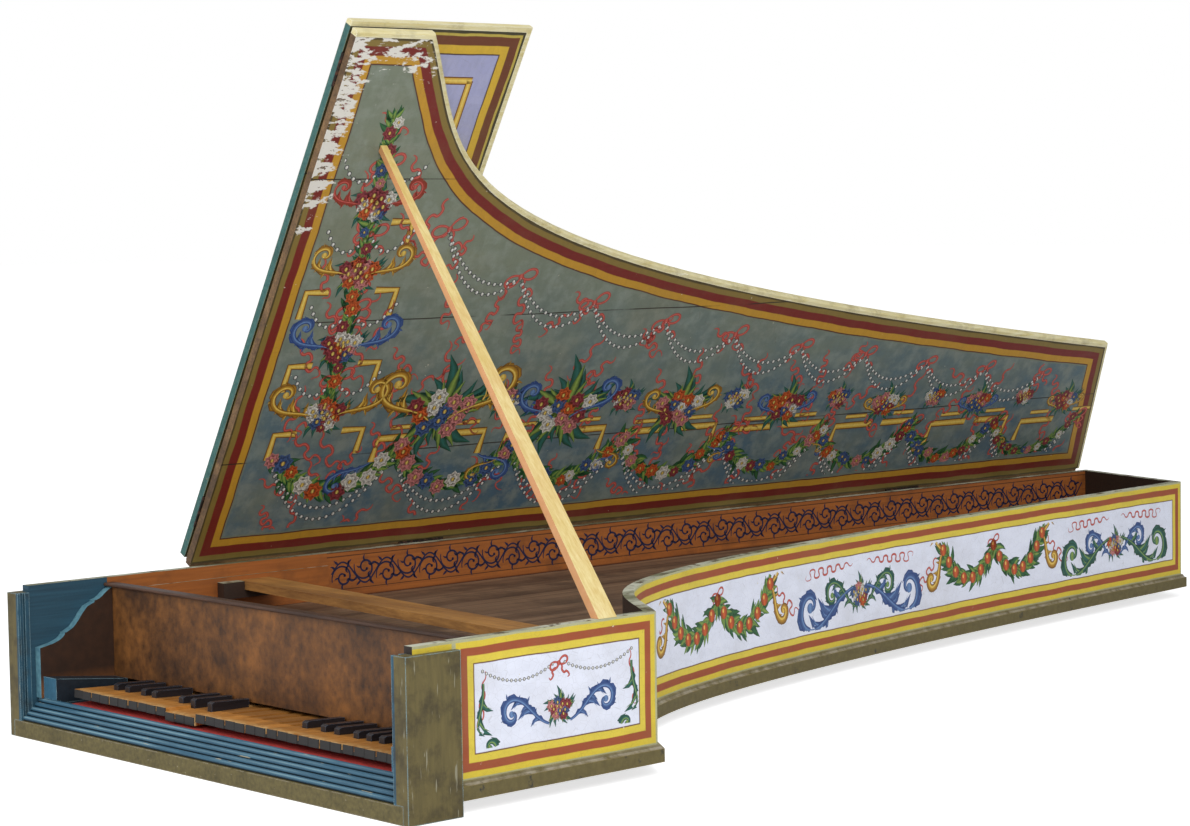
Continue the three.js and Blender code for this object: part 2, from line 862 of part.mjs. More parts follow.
const key_cloth = box(
  [keyboard_start, keyboard_end],
  [key_frame_front + overrun, key_frame_front + front_rail_depth - overrun],
  [front_rail_top + fit, front_rail_top + fit + cloth_thickness],
);
add(harpsichord, "key_cloth", key_cloth, finish.red_cloth);

// Wrestplank with its nut and tuning pins
const wrestplank_plan = across(inside, straight_line(wrestplank_front), register_line(-guide_width / 2 - fit));
const keyboard_strip = [
  [keyboard_start, 0],
  [keyboard_end, 0],
  [keyboard_end, case_length],
  [keyboard_start, case_length],
];
const nut_front = -guide_width / 2 - nut_setback;
const nut_plan = across(keyboard_strip, register_line(nut_front), register_line(nut_front + nut_width));
const tuning_pins = lever_centres.flatMap((x) =>
  tuning_row_places.map((row) => {
    const y = row + (register_line(0)(x) - register_line(0)(case_width)) * tuning_row_slope_share;
    const low = soundboard_top - tuning_pin_seat;
    return rod("z", tuning_pin_radius, pin_sides, [x, y], low, soundboard_top + tuning_pin_height);
  }),
);
const wrestplank = joined(
  board(wrestplank_plan, soundboard_top - wrestplank_thickness, soundboard_top),
  board(nut_plan, soundboard_top - overrun, soundboard_top + nut_height),
  ...tuning_pins,
);
add(harpsichord, "wrestplank", wrestplank, finish.bare);

// Jack guide in the gap behind the wrestplank, with two rows of slots
const guide_half = guide_width / 2;
const guide_plan = across(inside, register_line(-guide_half), register_line(guide_half));
const slots = lever_centres.flatMap((x) =>
  [-slot_row_offset, slot_row_offset].map((offset) => {
    const middle = register_line(offset)(x);
    return box(
      [x - slot_width / 2, x + slot_width / 2],
      [middle - slot_length / 2, middle + slot_length / 2],
      [soundboard_top - guide_thickness - overrun, soundboard_top + overrun],
    );
  }),
);
const jack_guide = cut(board(guide_plan, soundboard_top - guide_thickness, soundboard_top), ...slots);
add(harpsichord, "jack_guide", jack_guide, finish.pine);

// Belly rail, soundboard liner and soundboard
const belly_front = guide_half + fit;
const belly_plan = across(inside, register_line(belly_front), register_line(belly_front + belly_rail_thickness));
const soundboard_underside = soundboard_top - soundboard_thickness;
add(harpsichord, "belly_rail", board(belly_plan, bottom_top + fit, soundboard_underside - fit), finish.bare);

const liner_line = register_line(belly_front + belly_rail_thickness + fit);
const liner_top = soundboard_underside - fit;
const liner_section = [
  [-wall_thickness - fit - liner_width, liner_top - liner_height / 2],
  [-wall_thickness - fit, liner_top - liner_height],
  [-wall_thickness - fit, liner_top],
  [-wall_thickness - fit - liner_width, liner_top],
];
const liner_strip = strip(stations([cheek_leg, bentside_leg, tail_leg, spine_leg]), liner_section);
const soundwell = board(clipped(plan_inside(0), liner_line, 1), 0, case_top);
add(harpsichord, "soundboard_liner", liner_strip.intersect(soundwell), finish.bare);
const soundboard_plan = clipped(inside, register_line(belly_front), 1);
add(harpsichord, "soundboard", board(soundboard_plan, soundboard_underside, soundboard_top), finish.bare);

// Jackrail, on the cleats behind their stops
const jackrail_x = [wall_thickness + fit, cheek_inner_x(register_at_cheek + jackrail_width) - fit];
const jackrail_span = [
  [jackrail_x[0] + lining_thickness, 0],
  [jackrail_x[1], 0],
  [jackrail_x[1], case_length],
  [jackrail_x[0] + lining_thickness, case_length],
];
const jackrail_plan = across(
  jackrail_span,
  register_line(-jackrail_width / 2),
  register_line(jackrail_width / 2),
);
add(harpsichord, "jackrail", board(jackrail_plan, jackrail_top - jackrail_thickness, jackrail_top), finish.pine);

// Lid: its parts are modelled shut, then turned about the hinge pins on the spine
const hinge_x = -hinge_knuckle_radius - fit;
const hinge_z = case_top;
const lid_low = case_top + fit;
const lid_high = lid_low + lid_thickness;
const lid_turn = new THREE.Group();
lid_turn.position.set(hinge_x, 0, hinge_z);
lid_turn.rotation.y = -lid_open;
const lid = new THREE.Group();
lid.position.set(-hinge_x, 0, -hinge_z);
lid_turn.add(lid);
harpsichord.add(lid_turn);

// A moulding of the lid, hung inward from its outer edge, with its lower corner rounded
const lid_edge_section = [
  [-lid_moulding_width, lid_low],
  ...arc_points(
    -lid_moulding_fillet,
    lid_low + lid_moulding_fillet,
    lid_moulding_fillet,
    -lid_moulding_turn,
    0,
    2,
  ),
  [0, lid_high],
  [-lid_moulding_width, lid_high],
];
const lid_panel_inset = lid_moulding_width + fit;
const lid_corner = new THREE.Vector2(lid_width, lid_cheek_length);
const lid_tail_corner = new THREE.Vector2(lid_tail_corner_x, lid_tail_corner_y);
const lid_route = stations([
  [new THREE.Vector2(lid_width, flap_length), lid_corner],
  bentside_between(lid_corner, lid_tail_corner),
  [lid_tail_corner, new THREE.Vector2(0, lid_length)],
]);
const beyond_spine = box([-lid_panel_inset, 0], [0, case_length], [lid_low - overrun, lid_high + overrun]);
const lid_plan = [...drawn_in(lid_route, lid_panel_inset), [0, flap_length]];
add(lid, "lid_panel", cut(board(lid_plan, lid_low, lid_high), beyond_spine), finish.grey_green);
add(lid, "lid_moulding", cut(strip(lid_route, lid_edge_section), beyond_spine), finish.ochre);

// Flap: modelled shut in front of the lid, then folded back over it
const flap_axis_z = lid_high + flap_knuckle_radius + fit;
const flap_turn = new THREE.Group();
flap_turn.position.set(0, flap_length, flap_axis_z);
flap_turn.rotation.x = Math.PI;
const flap = new THREE.Group();
flap.position.set(0, -flap_length, -flap_axis_z);
flap_turn.add(flap);
lid.add(flap_turn);

const flap_back = flap_length - fit * 2;
const flap_route = stations([
  [new THREE.Vector2(0, -flap_overhang), new THREE.Vector2(flap_width, -flap_overhang)],
  [new THREE.Vector2(flap_width, -flap_overhang), new THREE.Vector2(flap_width, flap_back)],
]);
const flap_plan = [...drawn_in(flap_route, lid_panel_inset), [0, flap_back]];
add(flap, "flap_panel", board(flap_plan, lid_low, lid_high), finish.lilac);
add(flap, "flap_moulding", strip(flap_route, lid_edge_section), finish.ochre);

// Lid hinges: a leaf on the spine with two knuckles and the pin, and a strap bent over the lid's edge
function knuckle_spans(start, length) {
  const third = length / 3;
  return [
    [start, start + third - fit],
    [start + third, start + third * 2],
    [start + third * 2 + fit, start + length],
  ];
}

function lid_hinge_leaves(middle) {
  const start = middle - hinge_length / 2;
  const [near, centre, far] = knuckle_spans(start, hinge_length);
  const plate_x = [hinge_x + hinge_knuckle_radius - hinge_leaf_thickness, hinge_x + hinge_knuckle_radius];
  const clear = hinge_knuckle_radius + fit;
  const knuckle = ([from, to]) =>
    rod("y", hinge_knuckle_radius, hinge_sides, [hinge_x, hinge_z], from, to);
  const pin = rod("y", hinge_pin_radius, hinge_sides, [hinge_x, hinge_z], start, start + hinge_length);
  const case_plate = box(plate_x, [start, start + hinge_length], [
    hinge_z - hinge_case_leaf_height,
    hinge_z - clear,
  ]);
  const case_roots = [near, far].map((span) => box(plate_x, span, [hinge_z - clear - overrun, hinge_z]));
  const case_leaf = joined(case_plate, ...case_roots, knuckle(near), knuckle(far), pin);
  const strap_low = lid_high + fit;
  const strap_high = strap_low + hinge_leaf_thickness;
  const edge_plate = box(plate_x, [start, start + hinge_length], [hinge_z + clear, strap_high]);
  const strap = board(
    [
      [plate_x[0], start],
      [hinge_strap_length, middle - hinge_strap_end / 2],
      [hinge_strap_length, middle + hinge_strap_end / 2],
      [plate_x[0], start + hinge_length],
    ],
    strap_low,
    strap_high,
  );
  const lid_root = box(plate_x, centre, [hinge_z, hinge_z + clear + overrun]);
  const bore = rod("y", hinge_pin_radius + pin_clearance, hinge_sides, [hinge_x, hinge_z], start, start + hinge_length);
  const lid_leaf = cut(joined(edge_plate, strap, lid_root, knuckle(centre)), bore);
  return { case_leaf, lid_leaf };
}

const hinge_names = ["front", "rear"];
hinge_place_shares.forEach((share, i) => {
  const { case_leaf, lid_leaf } = lid_hinge_leaves(case_length * share);
  add(harpsichord, `lid_hinge_${hinge_names[i]}_case_leaf`, case_leaf, finish.iron);
  add(lid, `lid_hinge_${hinge_names[i]}_lid_leaf`, lid_leaf, finish.iron);
});

// Flap hinges: flat leaves on the outer faces, with the pin fixed in the lid's leaf
function flap_hinge_leaves(middle) {
  const start = middle - flap_hinge_length / 2;
  const [near, centre, far] = knuckle_spans(start, flap_hinge_length);
  const centre_line = [flap_length, flap_axis_z];
  const leaf_z = [lid_high + fit, lid_high + fit + flap_leaf_thickness];
  const clear = flap_knuckle_radius + fit;
  const knuckle = ([from, to]) => rod("x", flap_knuckle_radius, hinge_sides, centre_line, from, to);
  const pin = rod("x", flap_pin_radius, hinge_sides, centre_line, start, start + flap_hinge_length);
  const whole = [start, start + flap_hinge_length];
  const lid_plate = box(whole, [flap_length + clear, flap_length + flap_leaf_reach], leaf_z);
  const lid_roots = [near, far].map((span) => box(span, [flap_length, flap_length + clear + fit], leaf_z));
  const lid_leaf = joined(lid_plate, ...lid_roots, knuckle(near), knuckle(far), pin);
  const flap_plate = box(whole, [flap_length - flap_leaf_reach, flap_length - clear], leaf_z);
  const flap_root = box(centre, [flap_length - clear - fit, flap_length], leaf_z);
  const bore = rod("x", flap_pin_radius + pin_clearance, hinge_sides, centre_line, ...whole);
  const flap_leaf = cut(joined(flap_plate, flap_root, knuckle(centre)), bore);
  return { lid_leaf, flap_leaf };
}

const flap_hinge_names = ["bass", "treble"];
flap_hinge_place_shares.forEach((share, i) => {
  const { lid_leaf, flap_leaf } = flap_hinge_leaves(case_width * share);
  add(lid, `flap_hinge_${flap_hinge_names[i]}_lid_leaf`, lid_leaf, finish.iron);
  add(flap, `flap_hinge_${flap_hinge_names[i]}_flap_leaf`, flap_leaf, finish.iron);
});

// Prop stick: it stands on the cheek's top edge, leans across and meets the lid's inner face
const stick_foot_y = flap_length + stick_foot_setback;
const stick_tip_y = flap_length + stick_tip_setback;
const stick_foot = new THREE.Vector3(
  (cheek_outer_x(stick_foot_y) + cheek_inner_x(stick_foot_y)) / 2,
  stick_foot_y,
  case_top + fit,
);
const lid_up = new THREE.Vector3(Math.cos(lid_open), 0, Math.sin(lid_open));
const along_case = new THREE.Vector3(0, 1, 0);
const stick_tip = new THREE.Vector3(hinge_x, stick_tip_y, hinge_z)
  .addScaledVector(lid_up, stick_lid_reach);
const sideways = new THREE.Vector3(1, 0, 0);

function rectangle(centre, across_vector, width_across, width_along) {
  return [
    [-1, -1],
    [1, -1],
    [1, 1],
    [-1, 1],
  ].map(([a, b]) =>
    centre
      .clone()
      .addScaledVector(across_vector, (a * width_across) / 2)
      .addScaledVector(along_case, (b * width_along) / 2),
  );
}

const prop_stick = tapered_bar(
  rectangle(stick_foot, sideways, stick_foot_depth, stick_foot_width),
  rectangle(stick_tip, lid_up, stick_tip_depth, stick_tip_width),
);
add(harpsichord, "prop_stick", prop_stick, finish.pine);

export default harpsichord;
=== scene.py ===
"""A single-manual harpsichord in its painted case: finishes, painted ornament, lid boards and studio."""

import logging
import math
from dataclasses import dataclass, field
from enum import Enum
from functools import cached_property
from typing import Callable, Iterable, Sequence

import bpy
import numpy as np
from mathutils import Matrix, Vector


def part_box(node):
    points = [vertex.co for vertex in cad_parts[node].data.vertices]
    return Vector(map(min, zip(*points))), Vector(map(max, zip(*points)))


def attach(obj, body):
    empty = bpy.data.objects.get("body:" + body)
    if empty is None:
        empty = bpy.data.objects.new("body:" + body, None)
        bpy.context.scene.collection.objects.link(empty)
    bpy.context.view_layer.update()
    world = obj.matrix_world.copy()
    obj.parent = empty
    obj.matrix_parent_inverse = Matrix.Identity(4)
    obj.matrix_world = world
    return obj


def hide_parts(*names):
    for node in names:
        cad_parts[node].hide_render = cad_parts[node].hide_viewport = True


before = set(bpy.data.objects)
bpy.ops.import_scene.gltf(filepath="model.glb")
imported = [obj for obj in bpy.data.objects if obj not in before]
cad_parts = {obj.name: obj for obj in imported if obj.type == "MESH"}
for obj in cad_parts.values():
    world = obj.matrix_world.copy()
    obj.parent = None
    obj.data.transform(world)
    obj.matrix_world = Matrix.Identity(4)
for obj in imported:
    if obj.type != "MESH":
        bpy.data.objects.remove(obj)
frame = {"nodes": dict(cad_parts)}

log = logging.getLogger("harpsichord")
Socket = bpy.types.NodeSocket
Value = Socket | float | str
Point = Sequence[float] | np.ndarray
Amount = float | np.ndarray
Colour = str | Sequence[float] | np.ndarray
MM = 0.001
PHOTO_WIDTH = 1190
CASE_SHIFT = np.array([-0.430, -0.009, 0.0])
CASE_TOP = 0.205
CASE_LENGTH = 2.290
WALL = 0.015
SIDE_BOARD_END = 0.0813
CHEEK_FRONT_X = 0.860
CHEEK_END = (0.845, 0.412)
TAIL_CORNER = (0.286, 2.202)
START_HANDLE = (-0.2265, 0.1488)
END_HANDLE = (-0.2157, 1.7074)
LID_WIDTH = 0.843
LID_CORNER = (0.843, 0.424)
LID_TAIL = (0.276, 2.190)
LID_LENGTH = 2.276
FLAP_LINE = 0.292
FLAP_WIDTH = 0.850
FLAP_OVERHANG = 0.018
EDGE_MOULDING = 0.0083
HINGE_X = -0.0038
HINGE_LINE = np.array([HINGE_X, 0.0, CASE_TOP]) + CASE_SHIFT
LID_OPEN = math.radians(60)
LID_UP = np.array([math.cos(LID_OPEN), 0.0, math.sin(LID_OPEN)])
LID_INWARD = np.array([math.sin(LID_OPEN), 0.0, -math.cos(LID_OPEN)])
ALONG = np.array([0.0, 1.0, 0.0])
UP = np.array([0.0, 0.0, 1.0])
PLAYER = (0, -1, 0)


class Pigment(str, Enum):
    """The decorator's palette, as sRGB hex."""

    RIBBON_RED = "#9c2824"
    RIBBON_ROSE = "#d4695b"
    PEARL_LINE = "#2c2a33"
    PEARL_LIGHT = "#e8e6da"
    PEARL_SHADE = "#8d8f8e"
    WHITE = "#ffffff"
    LEAF_DARK = "#123e26"
    LEAF_MID = "#2f6b38"
    LEAF_LIGHT = "#8fa84a"
    ACANTHUS_BLUE = "#1f3e7c"
    ACANTHUS_SKY = "#6f93c4"
    ACANTHUS_TEAL = "#2b6a60"
    OCHRE = "#c9962a"
    OCHRE_LIGHT = "#efd36b"
    OCHRE_DARK = "#6e4616"
    FRUIT_ORANGE = "#d9622a"
    FRUIT_BROWN = "#8a3a1c"
    ROSE = "#d98a86"
    ROSE_DARK = "#9c3f45"
    BLOOM_WHITE = "#efe9dc"
    BLOOM_BLUE = "#4a6698"
    NAVY = "#1b1d40"


GREEN = (Pigment.LEAF_DARK, Pigment.ACANTHUS_TEAL, Pigment.LEAF_LIGHT)
BLUE = (Pigment.ACANTHUS_BLUE, Pigment.BLOOM_BLUE, Pigment.ACANTHUS_SKY)
GOLD = (Pigment.OCHRE_DARK, Pigment.OCHRE, Pigment.OCHRE_LIGHT)
RED = (Pigment.FRUIT_BROWN, Pigment.RIBBON_RED, Pigment.RIBBON_ROSE)
FLOWERS = (Pigment.ROSE, Pigment.BLOOM_WHITE, Pigment.ROSE_DARK, Pigment.BLOOM_BLUE, Pigment.FRUIT_ORANGE)


class Outlook(Enum):
    """Which way a wall's painted outer face looks."""

    RIGHT = (1.0, 0.0, 0.0)
    LEFT = (-1.0, 0.0, 0.0)
    BACK = (0.0, 1.0, 0.0)


def linear(hex_colour: str) -> tuple[float, float, float, float]:
    """Turns an sRGB hex colour to linear light, with an alpha of one.

    Each channel c becomes c / 12.92 below 0.04045 and ((c + 0.055) / 1.055) ** 2.4 above.

    Args:
        hex_colour: a colour such as "#c8cfe6"

    Returns:
        Red, green and blue in linear light, and an alpha of one.
    """
    text = hex_colour.value if isinstance(hex_colour, Enum) else hex_colour
    channels = [int(text[i : i + 2], 16) / 255 for i in (1, 3, 5)]
    red, green, blue = [c / 12.92 if c <= 0.04045 else ((c + 0.055) / 1.055) ** 2.4 for c in channels]
    return red, green, blue, 1.0


class Shader:
    """A material or a world while its nodes are being laid. Its colours may be given as hex."""

    def __init__(self, owner: bpy.types.Material | bpy.types.World) -> None:
        """Starts with an empty node tree.

        Args:
            owner: the material or the world that the nodes belong to
        """
        self.owner = owner
        owner.use_nodes = True
        self.tree = owner.node_tree
        self.tree.nodes.clear()

    def put(
        self, kind: str, links: dict | None = None, out: int | str = 0, stops: Sequence = (),
        **settings: object
    ) -> Socket | bpy.types.Node:
        """Adds one node with its settings and links.

        Args:
            kind: the node's type, without its ShaderNode prefix
            links: socket name or index to a value or to another node's output
            out: which output to hand back
            stops: positions and hex colours, for a colour ramp
            **settings: the node's own properties

        Returns:
            The chosen output, or the node itself if it has none.
        """
        node = self.tree.nodes.new("ShaderNode" + kind)
        for key, value in settings.items():
            setattr(node, key, value)
        for key, value in (links or {}).items():
            if isinstance(value, bpy.types.NodeSocket):
                self.tree.links.new(value, node.inputs[key])
            else:
                node.inputs[key].default_value = linear(value) if isinstance(value, str) else value
        while stops and len(node.color_ramp.elements) < len(stops):
            node.color_ramp.elements.new(0.5)
        for index, (position, colour) in enumerate(stops):
            node.color_ramp.elements[index].position = position
            node.color_ramp.elements[index].color = linear(colour)
        return node.outputs[out] if len(node.outputs) else node

    @cached_property
    def place(self) -> Socket:
        """The piece's own coordinates."""
        return self.put("TexCoord", out="Object")

    @cached_property
    def facing(self) -> Socket:
        """The piece's own normal."""
        return self.put("TexCoord", out="Normal")

    def math(self, operation: str, *values: Value) -> Socket:
        """One step of arithmetic."""
        return self.put("Math", dict(enumerate(values)), operation=operation)

    def times(self, *values: Value) -> Socket:
        """The product of two values or more.

        Args:
            *values: the factors, in order

        Returns:
            The product's socket.
        """
        product = values[0]
        for value in values[1:]:
            product = self.math("MULTIPLY", product, value)
        return product

    def vector(self, operation: str, first: Value, second: Value) -> Socket:
        """One step of vector arithmetic."""
        out = "Value" if operation in ("DOT_PRODUCT", "DISTANCE") else 0
        return self.put("VectorMath", {0: first, 1: second}, out=out, operation=operation)

    def axis(self, vector: Socket, name: str) -> Socket:
        """One axis of a vector."""
        return self.put("SeparateXYZ", {0: vector}, out=name)

    def stretched(self, vector: Socket, scale: tuple[float, float, float]) -> Socket:
        """Coordinates scaled along each axis, low along the grain."""
        return self.put("Mapping", {"Vector": vector, "Scale": scale})

    def noise(self, vector: Socket, scale: float, detail: float = 2.0, roughness: float = 0.5) -> Socket:
        """Noise with so many features to a metre."""
        links = {"Vector": vector, "Scale": scale, "Detail": detail, "Roughness": roughness}
        return self.put("TexNoise", links)

    def ramp(self, value: Value, start: float, end: float, low: float = 0.0, high: float = 1.0) -> Socket:
        """A value taken from one range to another and held at its ends."""
        links = {"Value": value, "From Min": start, "From Max": end, "To Min": low, "To Max": high}
        return self.put("MapRange", links)

    def spread(self, share: Socket, low: float, high: float) -> Socket:
        """A share from zero to one taken to a range."""
        return self.ramp(share, 0.0, 1.0, low, high)

    def mix(self, mask: Value, first: Value, second: Value, **settings: object) -> Socket:
        """The first colour, turned to the second where the mask is one."""
        return self.put("Mix", {0: mask, 6: first, 7: second}, out=2, data_type="RGBA", **settings)

    def layered(self, base: Value, layers: Iterable[tuple]) -> Socket:
        """Lays colours over a base, one after another, each through its own mask.

        Args:
            base: the first colour
            layers: pairs of a colour and the mask it shows through

        Returns:
            The colour after the last layer.
        """
        for colour, mask in layers:
            base = self.mix(mask, base, colour)
        return base

    def faces(self, direction: tuple[float, float, float], level: float = 0.5) -> Socket:
        """One where the surface looks in a direction."""
        return self.math("GREATER_THAN", self.vector("DOT_PRODUCT", self.facing, direction), level)

    def patches(
        self, place: Socket, size: float, low: float, high: float, share: float = 1.0, detail: float = 6.0,
        stretch: Sequence[float] = (1, 1, 1)
    ) -> Socket:
        """A mask of irregular patches: noise at one patch per size, cut between two levels."""
        noise = self.noise(self.stretched(place, stretch), 1 / size, detail, 0.62)
        return self.ramp(noise, low, high, 0.0, share)

    def rubbed(self, width: float, level: float) -> Socket:
        """A mask of arrises worn through by hands.

        The dot product of the true normal and the normal rounded over the width falls from 0.995 to
        0.8 at an edge, and noise breaks the mask up.

        Args:
            width: how far the wear reaches from an edge, in metres
            level: from zero for sound edges to one for badly worn ones

        Returns:
            The mask's socket.
        """
        rounded = self.put("Bevel", {"Radius": width}, samples=4)
        true = self.put("NewGeometry", out="Normal")
        edge = self.ramp(self.vector("DOT_PRODUCT", rounded, true), 0.995, 0.8)
        broken = self.times(edge, self.noise(self.place, 60, 5, 0.7))
        return self.ramp(broken, 0.62 - 0.5 * level, 0.75 - 0.5 * level)

    def finish(
        self, colour: Value, roughness: Value, height: Socket | None, depth: float = 0.3 * MM,
        metallic: Value = 0.0, coat: float = 0.0
    ) -> bpy.types.Material | bpy.types.World:
        """Ends the material with its surface.

        Args:
            colour: the base colour
            roughness: how matt it is
            height: the relief's height from zero to one, if it has any
            depth: that relief's real depth in metres
            metallic: one for bare metal
            coat: the weight of a varnish or wax

        Returns:
            The finished material.
        """
        links = {"Base Color": colour, "Roughness": roughness, "Metallic": metallic, "Coat Weight": coat}
        links["Coat Roughness"] = 0.3
        if height is not None:
            links["Normal"] = self.put("Bump", {"Height": height, "Distance": depth, "Strength": 1.0})
        self.put("OutputMaterial", {"Surface": self.put("BsdfPrincipled", links)})
        return self.owner


@dataclass(frozen=True)
class Finish:
    """A surface finish, named after the real one."""

    name: str

    def material(self) -> bpy.types.Material:
        """Builds the finish."""
        return self.lay(Shader(bpy.data.materials.new(self.name)))

    def lay(self, s: Shader) -> bpy.types.Material:
        """Lays the finish's nodes; each finish has its own."""
        raise NotImplementedError

    def dress(self, *pieces: bpy.types.Object) -> None:
        """Puts the finish on CAD nodes.

        Args:
            *pieces: the nodes' objects
        """
        material = self.material()
        for piece in pieces:
            if not piece.material_slots:
                piece.data.materials.append(material)
            for slot in piece.material_slots:
                slot.material = material


@dataclass(frozen=True)
class PlanedWood(Finish):
    """Bare or stained wood, planed by hand: long grain streaks, slow shade changes and fine pores.

    The grain runs along one axis. Streaks are drawn about 3 mm apart, coarser than real annual rings,
    so that they show at the whole instrument's scale.
    """

    light: str
    dark: str
    stain: str
    grain: tuple[float, float, float] = (1.0, 0.04, 1.0)
    streak: float = 3 * MM
    roughness: float = 0.6
    stain_share: float = 0.5
    # Colour of a painted shade on the faces that look towards the player; none if empty.
    player_side_shade: str = ""

    def lay(self, s: Shader) -> bpy.types.Material:
        """Lays the wood's nodes.

        Args:
            s: the material being built

        Returns:
            The finished material.
        """
        along = s.stretched(s.place, self.grain)
        streaks = s.noise(along, 1 / self.streak, 5, 0.7)
        broad = s.noise(along, 0.12 / self.streak, 3)
        base = s.mix(s.ramp(s.times(streaks, broad), 0.13, 0.38), self.dark, self.light)
        pores = s.ramp(s.noise(along, 4 / self.streak), 0.66, 0.74, 0, 0.5)
        blotch = s.patches(s.place, 0.09, 0.46, 0.72, self.stain_share)
        colour = s.layered(base, [(self.stain, blotch), (self.dark, pores)])
        # Painted shade: faces that look towards the player turn orange-pink.
        if self.player_side_shade:
            front = s.ramp(s.vector("DOT_PRODUCT", s.facing, PLAYER), 0.5, 0.6, 0, 0.75)
            colour = s.mix(front, colour, self.player_side_shade)
        rough = s.spread(streaks, self.roughness - 0.08, self.roughness + 0.1)
        return s.finish(colour, rough, streaks, 0.25 * MM)


@dataclass(frozen=True)
class WornPaint(Finish):
    """Old distemper or oil paint on wood: brushed tone, grime in patches and edges rubbed through."""

    paint: str
    second: str
    worn: str
    grime: str
    rub_level: float = 0.5

    def lay(self, s: Shader) -> bpy.types.Material:
        """Lays the paint's nodes.

        Args:
            s: the material being built

        Returns:
            The finished material.
        """
        along = s.stretched(s.place, (1, 0.1, 1))
        strokes = s.noise(along, 180, 6, 0.65)
        base = s.mix(s.ramp(strokes, 0.32, 0.68), self.paint, self.second)
        grime = s.patches(s.place, 0.035, 0.5, 0.78, 0.5)
        edges = s.rubbed(3.5 * MM, self.rub_level)
        chips = s.patches(along, 0.006, 0.68, 0.72, detail=3)
        colour = s.layered(base, [(self.grime, grime), (self.worn, edges), (self.worn, chips)])
        return s.finish(colour, s.spread(grime, 0.55, 0.75), s.math("SUBTRACT", strokes, edges))


@dataclass(frozen=True)
class BandScheme:
    """Painted border bands: the distance in from the edge at which each colour ends, in millimetres."""

    ends: tuple[float, ...]
    colours: tuple[str, ...]
    reach: float

    def paint(self, s: Shader, distance: Socket) -> Socket:
        """The bands at a distance in metres, each with a short soft edge as a brush leaves.

        Args:
            s: the material being built
            distance: the distance in from the edge, in metres

        Returns:
            The colour's socket.
        """
        soft = 0.5 / self.reach
        stops = [(0.0, self.colours[0])]
        for end, before, after in zip(self.ends, self.colours, self.colours[1:]):
            stops += [(end / self.reach - soft, before), (end / self.reach + soft, after)]
        return s.put("ValToRGB", {"Fac": s.times(distance, 1 / (self.reach * MM))}, stops=stops)


CASE_BANDS = BandScheme(
    ends=(3.0, 10.5, 20.5, 29.5, 31.0),
    colours=("#b9b98f", "#e2c93c", "#a4502c", "#e6cf48", "#5c2426", "#edf1ff"),
    reach=60.0,
)
LID_BANDS = BandScheme(
    ends=(3.0, 12.0, 26.0, 38.0, 40.0),
    colours=("#4f4322", "#8a7434", "#7a1f16", "#c8962a", "#4d1c18", "#7d8673"),
    reach=110.0,
)
FLAP_BANDS = BandScheme(
    ends=(4.0, 8.0, 22.0, 35.0, 37.0),
    colours=("#3f3a20", "#c2ad4a", "#6f3a1c", "#d8b032", "#3d2024", "#a9abcf"),
    reach=110.0,
)


def aged_paint(s: Shader, colour: Value, place: Socket) -> Socket:
    """Ages a painted colour: brush tone, a warm soil film, fine cracks and small losses to the ground.

    Args:
        s: the material being built
        colour: the fresh colour
        place: the coordinates to read

    Returns:
        The aged colour's socket.
    """
    tone = s.noise(s.stretched(place, (1, 0.2, 0.6)), 90, 6, 0.6)
    toned = s.put("HueSaturation", {"Color": colour, "Value": s.spread(tone, 0.84, 1.12)})
    soil = s.patches(place, 0.12, 0.5, 0.85, 0.28)
    cells = s.put("TexVoronoi", {"Vector": place, "Scale": 95.0}, feature="DISTANCE_TO_EDGE")
    cracks = s.ramp(cells, 0.018, 0, 0, 0.22)
    flakes = s.patches(place, 0.012, 0.715, 0.735, detail=4)
    return s.layered(toned, [("#8d7c55", soil), ("#5b4a38", cracks), ("#d8d0b8", flakes)])


@dataclass(frozen=True)
class BandedWall(Finish):
    """A case wall: painted bands round a lilac field outside, dark wood inside, a worn pale top.

    The distance from the panel's edge is the least of the heights below the top and above the
    moulding and of the plan distances from the wall's two ends. A slow noise of 1.6 mm makes the
    bands as uneven as hand-drawn ones.
    """

    ends: tuple[tuple[float, float], tuple[float, float]]
    outlook: Outlook
    panel_low: float = 0.038

    def edge_distance(self, s: Shader) -> Socket:
        """The distance in from the painted panel's edge, in metres.

        Args:
            s: the material being built

        Returns:
            The distance's socket.
        """
        height = s.axis(s.place, "Z")
        below_top = s.math("SUBTRACT", CASE_TOP, height)
        nearest = s.math("MINIMUM", below_top, s.math("SUBTRACT", height, self.panel_low))
        flat = s.vector("MULTIPLY", s.place, (1, 1, 0))
        for end in self.ends:
            nearest = s.math("MINIMUM", nearest, s.vector("DISTANCE", flat, tuple(CASE_SHIFT + (*end, 0))))
        wobble = s.spread(s.noise(s.place, 14, 3), -1.6 * MM, 1.6 * MM)
        return s.math("ADD", nearest, wobble)

    def inner_colour(self, s: Shader) -> Socket:
        """The dark wood of the wall's inner face."""
        return s.mix(s.noise(s.stretched(s.place, (1, 0.05, 1)), 260, 5), "#1d1512", "#3a2c22")

    def lay(self, s: Shader) -> bpy.types.Material:
        """Lays the wall's nodes.

        Args:
            s: the material being built

        Returns:
            The finished material.
        """
        painted = aged_paint(s, CASE_BANDS.paint(s, self.edge_distance(s)), s.place)
        bare = s.patches(s.place, 0.05, 0.42, 0.6, stretch=(1, 0.4, 1))
        crest = s.mix(bare, "#77785a", "#c8c9b4")
        crest = s.mix(s.patches(s.place, 0.02, 0.54, 0.62), crest, "#5b4a30")
        top = s.math("GREATER_THAN", s.axis(s.facing, "Z"), 0.7)
        layers = [(painted, s.faces(self.outlook.value, 0.2)), (crest, top)]
        relief = s.noise(s.place, 260, 5)
        colour = s.layered(self.inner_colour(s), layers)
        return s.finish(colour, s.spread(relief, 0.5, 0.72), relief, 0.2 * MM)


